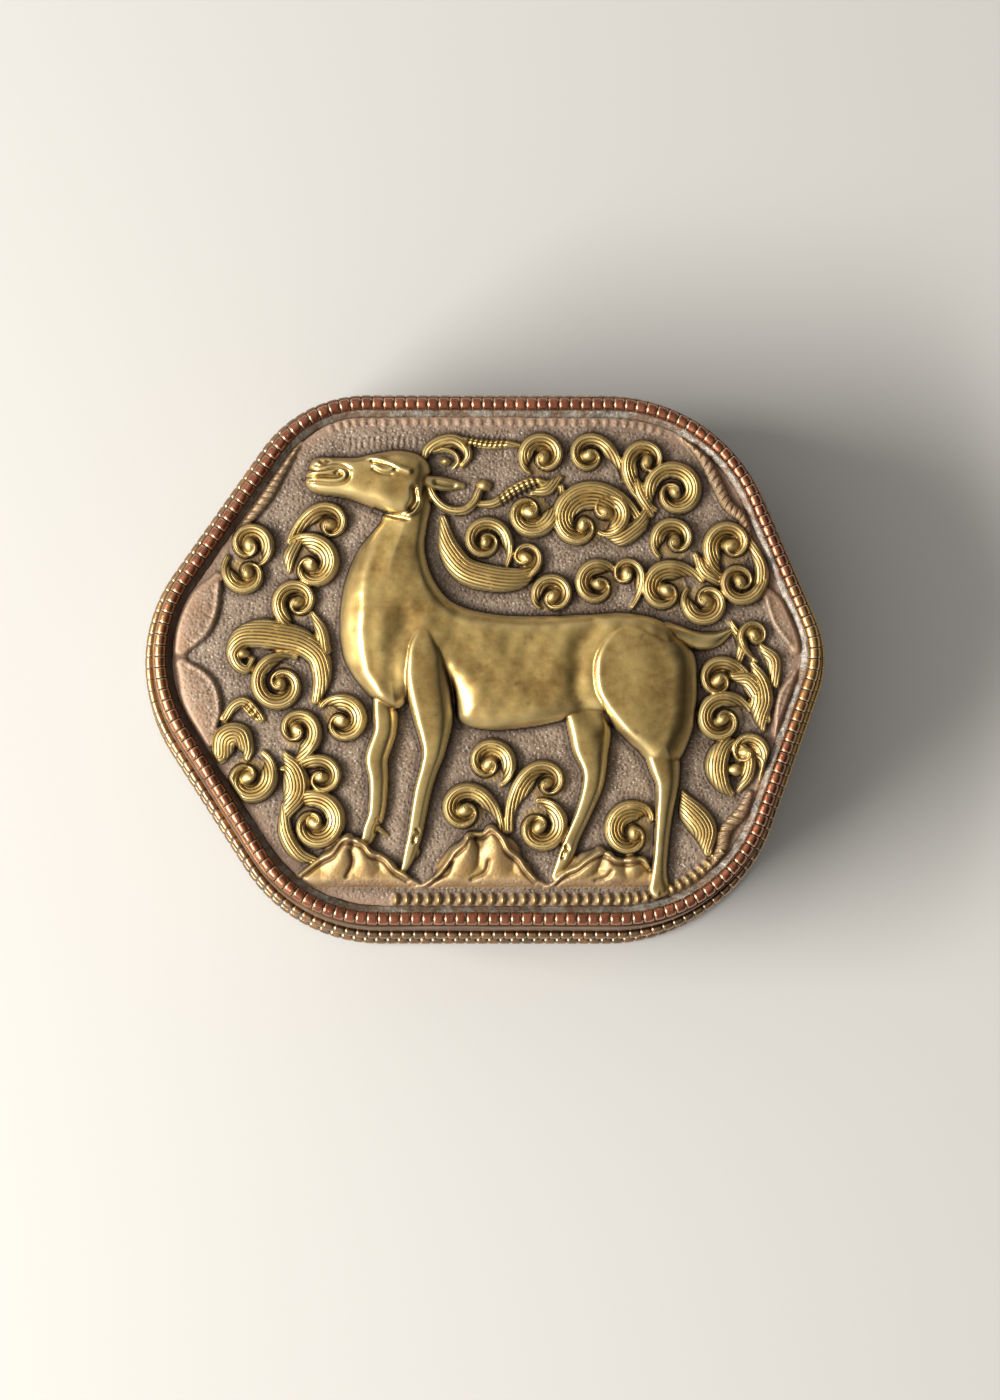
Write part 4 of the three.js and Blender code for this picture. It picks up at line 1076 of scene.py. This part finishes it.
def panel_finish():
    """Worn brass on the raised forms, over a dull punched ground with dust in it. Hollows are darker;
    steep flanks are darkened partly as patina and partly as painted shade, and right-facing slopes as
    painted shade.
    """
    material, shader, place = new_material("panel_brass")
    hollow, crest, right_side_shade, deer, copper, border = map(place.read, (
        "hollow", "crest", "right_side_shade", "deer", "copper", "border"))
    wave = (place.read("engrave") * TURN).then("COSINE").spread(-1, 1)
    stroke = wave.then("POWER", 5.0) * place.read("engraved")
    groove = stroke * place.noise(420, 2).spread(0.36, 0.46, 0.3, 1.0)

    brass, tarnished = patina(place, PANEL_COLOURS, 150.0, 0.4)
    plain = ((1.0 - deer) * 0.3).colour(brass, srgb(176, 142, 84))
    coppery = copper.colour(plain, srgb(158, 124, 96))
    # Darker in hollows and on steep flanks, partly patina and partly painted shade; the deer's
    # right-facing slopes are painted shade. Engraved strokes are darkened too.
    shade_and_grime = hollow * 0.8 + place.read("flank_patina_and_shade") * 0.85
    sunk = shade_and_grime.then("ADD", groove * 0.9, True)
    shaded = sunk.colour(coppery, srgb(46, 28, 16))
    polish = copper.colour(srgb(238, 214, 152), srgb(240, 212, 184))
    worn = (crest * (deer * 0.35 + 0.35)).colour(shaded, polish)

    fine = place.noise(2600, 3, 0.7)
    cloud = place.noise(220, 4, 0.6)
    earth = cloud.spread(0.35, 0.65).colour(srgb(106, 86, 67), srgb(140, 120, 100))
    cells = place.node("ShaderNodeTexVoronoi", "Distance", {"Vector": place, "Scale": 1500.0})
    punch = cells.spread(0.1, 0.55)
    shadowed = ((1.0 - punch) * 0.5).colour(earth, srgb(70, 52, 42))
    dusty = (fine.spread(0.56, 0.68) * 0.75).colour(shadowed, srgb(206, 198, 186))
    edged = (border * 0.7).colour(dusty, srgb(150, 120, 98))
    ground = (hollow * 0.8).colour(edged, srgb(60, 44, 34))

    dusted = copper * cloud.spread(0.35, 0.6, 0.35, 0.75)
    mask = place.read("relief").spread(0.35, 0.75) * (1.0 - dusted)
    dullness = tarnished * 0.1 + ((1.0 - deer) * 0.2 + copper * 0.2 + 0.23)
    sheet = worked_sheet(place, 0.55, 0.35)
    pitted = (punch * 0.8 + fine * 0.6) * border.spread(0, 1, 1.0, 0.4)
    fill(shader, {
        "Base Color": mask.colour(ground, worn),
        # Slopes that face right lose metal and coat: painted shade.
        "Metallic": mask.value(0.3, 1.0) * (1.0 - right_side_shade * 0.7),
        "Roughness": mask.value(0.62, dullness + sunk * 0.25),
        "Coat Weight": mask * (1.0 - right_side_shade) * deer.spread(0, 1, 0.2, 0.5),
        "Coat Roughness": 0.3,
        "Normal": mask.value(pitted, sheet * 0.35 - groove * 2.2).bump(0.00014),
    })
    return material


def metal_finish(name, colours, rough, cloud, tarnish, hammer, depth):
    """Aged sheet; depth, in metres, is how deep its hammering goes."""
    material, shader, place = new_material(name)
    colour, tarnished = patina(place, colours, cloud, tarnish)
    fill(shader, {
        "Base Color": colour,
        "Metallic": 1.0,
        "Roughness": tarnished * 0.14 + rough,
        "Normal": worked_sheet(place, hammer, 1.0).bump(depth),
    })
    return material


def wire_finish(name, colours, solder_colour, solder_share):
    """Milled wire: bright bellies with a painted highlight, partly polish, on their shoulders, dirty
    notches, solder caught between, and brassy ends.
    """
    material, shader, place = new_material(name)
    belly = place.read("belly")
    crests, _ = patina(place, colours, 420.0, 0.5)
    at = place.across()
    ends = at.spread(0.049, 0.055) + at.spread(-0.048, -0.056, 0.0, 0.35)
    brassy = (ends * 0.8).colour(crests, srgb(196, 158, 84))
    reach = 0.3 * solder_share
    caught = place.noise(700, 3).spread(0.62 - reach, 0.75 - reach) * solder_share
    filled = caught.colour(colours[2], solder_colour)
    # A pale band over each bead's shoulders: painted highlight, partly as polish.
    shoulder = belly.spread(0.45, 0.7) - belly.spread(0.85, 0.98)
    shoulder_highlight_and_wear = (shoulder * (0.6 - 0.45 * solder_share)).colour(brassy, srgb(236, 214, 176))
    fill(shader, {
        "Base Color": belly.spread(0.25, 0.6).colour(filled, shoulder_highlight_and_wear),
        "Metallic": 1.0,
        "Roughness": belly.spread(0.1, 0.7, 0.55, 0.3),
        "Coat Weight": belly * 0.5,
        "Coat Roughness": 0.3,
        "Normal": worked_sheet(place, 0.6, 1.0).bump(0.00008),
    })
    return material


def solder_finish():
    """Grey solder, lumpy and pitted, with brown brass showing through where it is thin, and darker
    towards the left as a painted shadow of the rim wire.
    """
    material, shader, place = new_material("rim_solder")
    lumps = place.noise(620, 5, 0.65)
    grey = lumps.spread(0.35, 0.65).colour(srgb(84, 78, 70), srgb(162, 153, 139))
    thin = place.noise(240, 4, 0.6).spread(0.46, 0.56) * 0.8
    brown = thin.colour(grey, srgb(112, 88, 68))
    # Darker towards the left: painted shadow of the rim wire.
    left_shade = place.across().spread(-0.026, -0.044, 0.0, 0.85)
    fill(shader, {
        "Base Color": left_shade.colour(brown, srgb(70, 50, 38)),
        "Metallic": 0.6,
        "Roughness": 0.48,
        "Normal": lumps.bump(0.0004),
    })
    return material


def stage_finish():
    material, shader, place = new_material("studio_floor")
    tone = place.noise(3, 2).colour(srgb(176, 174, 169), srgb(182, 180, 175))
    fill(shader, {"Base Color": tone, "Roughness": 0.85})
    return material


# Milled wires, swept by a node tree along the plan

def wire_tree():
    """Sweeps a beaded wire along a closed curve."""
    tree, (route, beads, notch, out, up, finish), result = node_group(
        "milled_wire", "GeometryNodeTree", {
            "Route": "NodeSocketGeometry", "Beads": "NodeSocketInt", "Notch": VALUE,
            "Out": VALUE, "Up": VALUE, "Finish": "NodeSocketMaterial",
        }, {"Wire": "NodeSocketGeometry"})
    spaced = route.node("GeometryNodeResampleCurve", 0, {"Curve": route, "Count": beads * BEAD_STEPS})
    step = route.node("GeometryNodeSplineParameter", "Index", {})
    place = step.then("DIVIDE", BEAD_STEPS).then("FRACT")
    cut = (place * 2 - 1).then("ABSOLUTE").then("POWER", 7.0)
    at = route.node("GeometryNodeInputPosition", 0, {}).across()
    worn = at.then("ABSOLUTE").spread(0.049, 0.054, 1.0, 0.45)
    radius = 1.0 - cut * notch * worn
    marked = route.node("GeometryNodeStoreNamedAttribute", 0, {
        "Geometry": spaced, "Name": "belly", "Value": 1.0 - cut}, data_type="FLOAT", domain="POINT")
    ring = route.node("GeometryNodeCurvePrimitiveCircle", 0, {"Resolution": 12, "Radius": 1.0})
    scale = route.node("ShaderNodeCombineXYZ", 0, {"X": out, "Y": up, "Z": 1.0})
    section = route.node("GeometryNodeTransform", 0, {"Geometry": ring, "Scale": scale})
    swept = route.node("GeometryNodeCurveToMesh", 0, {
        "Curve": marked, "Profile Curve": section, "Scale": radius})
    smooth = route.node("GeometryNodeSetShadeSmooth", 0, {"Geometry": swept})
    whole = route.node("GeometryNodeRealizeInstances", 0, {"Geometry": smooth})
    coated = route.node("GeometryNodeSetMaterial", 0, {"Geometry": whole, "Material": finish})
    fill(result, {"Wire": coated})
    return tree


def milled_wire(name, tree, offset, z, out, up, notch, material):
    """A wire at an offset from the plan; out and up are its half depth and half height."""
    points = ring_points(stations(WIRE_STATIONS), offset, z) * MM
    route = bpy.data.curves.new(name + "_route", "CURVE")
    route.dimensions = "3D"
    spline = route.splines.new("POLY")
    spline.points.add(len(points) - 1)
    spline.use_cyclic_u = True
    for point, place in zip(spline.points, points):
        point.co = (*place, 1)
    carrier = link_object(name + "_route", route)
    modifier = carrier.modifiers.new("milled_wire", "NODES")
    modifier.node_group = tree
    sockets = {item.name: item.identifier for item in tree.interface.items_tree}
    for key, value in {
        "Beads": round(PERIMETER / BEAD_PITCH), "Notch": notch, "Out": out * MM, "Up": up * MM,
        "Finish": material,
    }.items():
        modifier[sockets[key]] = value
    evaluated = carrier.evaluated_get(bpy.context.evaluated_depsgraph_get())
    mesh = bpy.data.meshes.new_from_object(evaluated)
    bpy.data.objects.remove(carrier)
    mesh.name = name
    return link_object(name, mesh)


def trim_piece(name, node, tree, material):
    """A milled wire on the outside of the walls, at the height of its node."""
    z = node_box(node)[:, 2].mean()
    return milled_wire(name, tree, wall_outer(z) + TRIM_WIRE_SEAT, z,
                       TRIM_WIRE_DEPTH, TRIM_WIRE_RADIUS, TRIM_NOTCH, material)


# Pieces

def solder_ring(material):
    """Lumpy fillet between the rim wire and the panel's flange."""
    places = stations(SOLDER_STATIONS)
    around = along_plan(SOLDER_STATIONS)
    rings = []
    for k, (offset, up) in enumerate(SOLDER_SECTION):
        toe = min(1.0, max(0.0, -offset - 1.8))
        inward = 0.16 * ripple(around, 3.0 * k, 7, 4) + 0.08 * ripple(around, 0, 2.4, 6)
        lift = 0.1 * ripple(around, 5.0 * k, 5, 8) * (up > 0.1)
        z = PANEL_TOP + up + lift * toe
        rings.append(ring_points(places, offset - inward * toe, z))
    return band_mesh("solder_fillet", rings, material)


def floor_plate(material):
    """Underside sheet, with a soft unevenness that stays clear of the table."""
    count = FLOOR_STATIONS
    low, high = node_box("base_floor")
    thickness = high[2] - low[2]
    rim = ring_points(stations(count), high[0] - PLAN_HALF[0], 0)[:, :2]
    shares = 1 - np.arange(FLOOR_RINGS) / FLOOR_RINGS
    rings = []
    for height, order in ((0, shares[::-1]), (thickness, shares)):
        for share in order:
            x, y = (rim * share).T
            dish = FLOOR_RISE * (1 - share ** 2) * (1 + ripple(x, y, 30, 2))
            rings.append(np.column_stack([x, y, height + dish]))
    faces = []
    for k in range(len(rings) - 1):
        faces += strip(k * count, (k + 1) * count, count)
    middle = len(rings) * count
    last = middle - count
    for i in range(count):
        nxt = (i + 1) % count
        faces += [(i, middle, nxt), (last + nxt, middle + 1, last + i)]
    vertices = np.concatenate(rings + [[[0, 0, FLOOR_RISE], [0, 0, thickness + FLOOR_RISE]]])
    return make_object("underside", vertices, faces, material)


def seat(piece, body, node):
    """The piece rides its body and stands in for its node, which is hidden."""
    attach(piece, body)
    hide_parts(node)


# Bright, dull and dark metal.
PANEL_COLOURS = (srgb(208, 176, 104), srgb(152, 116, 56), srgb(92, 60, 30))
WALL_COLOURS = (srgb(140, 102, 60), srgb(96, 66, 40), srgb(50, 36, 25))
COLLAR_COLOURS = (srgb(196, 160, 88), srgb(150, 114, 58), srgb(84, 58, 32))
COPPER_COLOURS = (srgb(186, 112, 76), srgb(138, 78, 52), srgb(40, 24, 17))
TRIM_COLOURS = (srgb(186, 132, 88), srgb(126, 102, 74), srgb(56, 47, 40))

panel_brass = panel_finish()
wall_brass = metal_finish("wall_brass", WALL_COLOURS, 0.34, 130.0, 0.55, 1.0, 0.00016)
collar_brass = metal_finish("collar_brass", COLLAR_COLOURS, 0.3, 110.0, 0.4, 0.8, 0.0001)
copper_wire = wire_finish("copper_wire", COPPER_COLOURS, srgb(150, 132, 104), 0.3)
trim_wire = wire_finish("trim_wire", TRIM_COLOURS, srgb(112, 108, 98), 0.9)
solder_grey = solder_finish()

relief_grid = panel_relief()
front_heights, reverse_heights, finish_masks = panel_surfaces(relief_grid)
on_panel = panel_cells(relief_grid)
width = on_panel.shape[1]
cuts = [int(round(width * share / BACK_CELLS)) * BACK_CELLS for share in (0, 0.36, 0.64, 1)]
column = np.arange(width)
for part, first, last in zip(("left", "middle", "right"), cuts, cuts[1:]):
    cells = on_panel & (column >= first) & (column < last)
    piece = panel_piece("repousse_" + part, relief_grid, front_heights, reverse_heights,
                        finish_masks, cells, panel_brass)
    seat(piece, "lid", "lid_panel")

lid_band = sheet_band("lid_side", "lid_wall", wall_outer, WALL_SHEET, 12, 0.07, 2, wall_brass)
seat(lid_band, "lid", "lid_wall")
base_band = sheet_band("base_side", "base_wall", wall_outer, WALL_SHEET, 12, 0.07, 7, wall_brass)
seat(base_band, "base", "base_wall")
collar = sheet_band(
    "inner_collar", "base_collar", collar_outer, COLLAR_SHEET, 10, 0.04, 5, collar_brass)
seat(collar, "base", "base_collar")
seat(floor_plate(wall_brass), "base", "base_floor")

wire_nodes = wire_tree()
rim = milled_wire("rim_wire", wire_nodes, -RIM_WIRE_RADIUS, RIM_TOP - RIM_WIRE_RADIUS,
                  RIM_WIRE_RADIUS, RIM_WIRE_RADIUS, RIM_NOTCH, copper_wire)
seat(rim, "lid", "lid_rim_wire")
skirt = trim_piece("skirt_wire", "lid_skirt_wire", wire_nodes, trim_wire)
seat(skirt, "lid", "lid_skirt_wire")
foot = trim_piece("foot_wire", "base_foot_wire", wire_nodes, trim_wire)
seat(foot, "base", "base_foot_wire")
seat(solder_ring(solder_grey), "lid", "rim_solder")


# Stage, light and camera

def studio():
    bpy.ops.mesh.primitive_plane_add(size=4.0, location=(0, 0, 0))
    ground = bpy.context.object
    ground.name = "studio_floor"
    ground.data.materials.append(stage_finish())

    world = bpy.data.worlds.new("studio")
    bpy.context.scene.world = world
    world.use_nodes = True
    tree = world.node_tree
    direction = add_node(tree, "ShaderNodeTexCoord", "Generated", {})
    tone = direction.across().spread(-0.3, 0.65).colour(srgb(248, 246, 242), srgb(62, 61, 60))
    fill(tree.nodes["Background"].inputs, {"Color": tone, "Strength": 1.0})

    lamp = bpy.data.lights.new("window_light", "AREA")
    lamp.shape = "RECTANGLE"
    lamp.size = 0.2
    lamp.size_y = 0.6
    lamp.energy = 13.5
    lamp.color = (1.0, 0.985, 0.96)
    holder = link_object("window_light", lamp)
    holder.location = (-0.6, -0.16, 0.52)
    aim(holder, (0, 0, 0.03))


def aim(thing, target):
    """Points an object's -Z at the target, with its Y kept towards the back."""
    back = (Vector(thing.location) - Vector(target)).normalized()
    right = Vector((0, 1, 0)).cross(back).normalized()
    thing.rotation_euler = Matrix((right, back.cross(right), back)).transposed().to_euler()


def camera():
    """The photograph's view: nearly overhead, leaning a little to the front and left."""
    view = bpy.data.cameras.new("camera")
    view.sensor_fit = "HORIZONTAL"
    view.sensor_width = 36.0
    view.lens = 108.0
    view.clip_start = 0.01
    holder = link_object("camera", view)
    holder.location = (-9.6 * MM, -29 * MM, (RIM_TOP + 493.5) * MM)
    aim(holder, (2 * MM, -6.6 * MM, RIM_TOP * MM))
    bpy.context.scene.camera = holder


studio()
camera()
bpy.context.scene.view_settings.view_transform = "Standard"
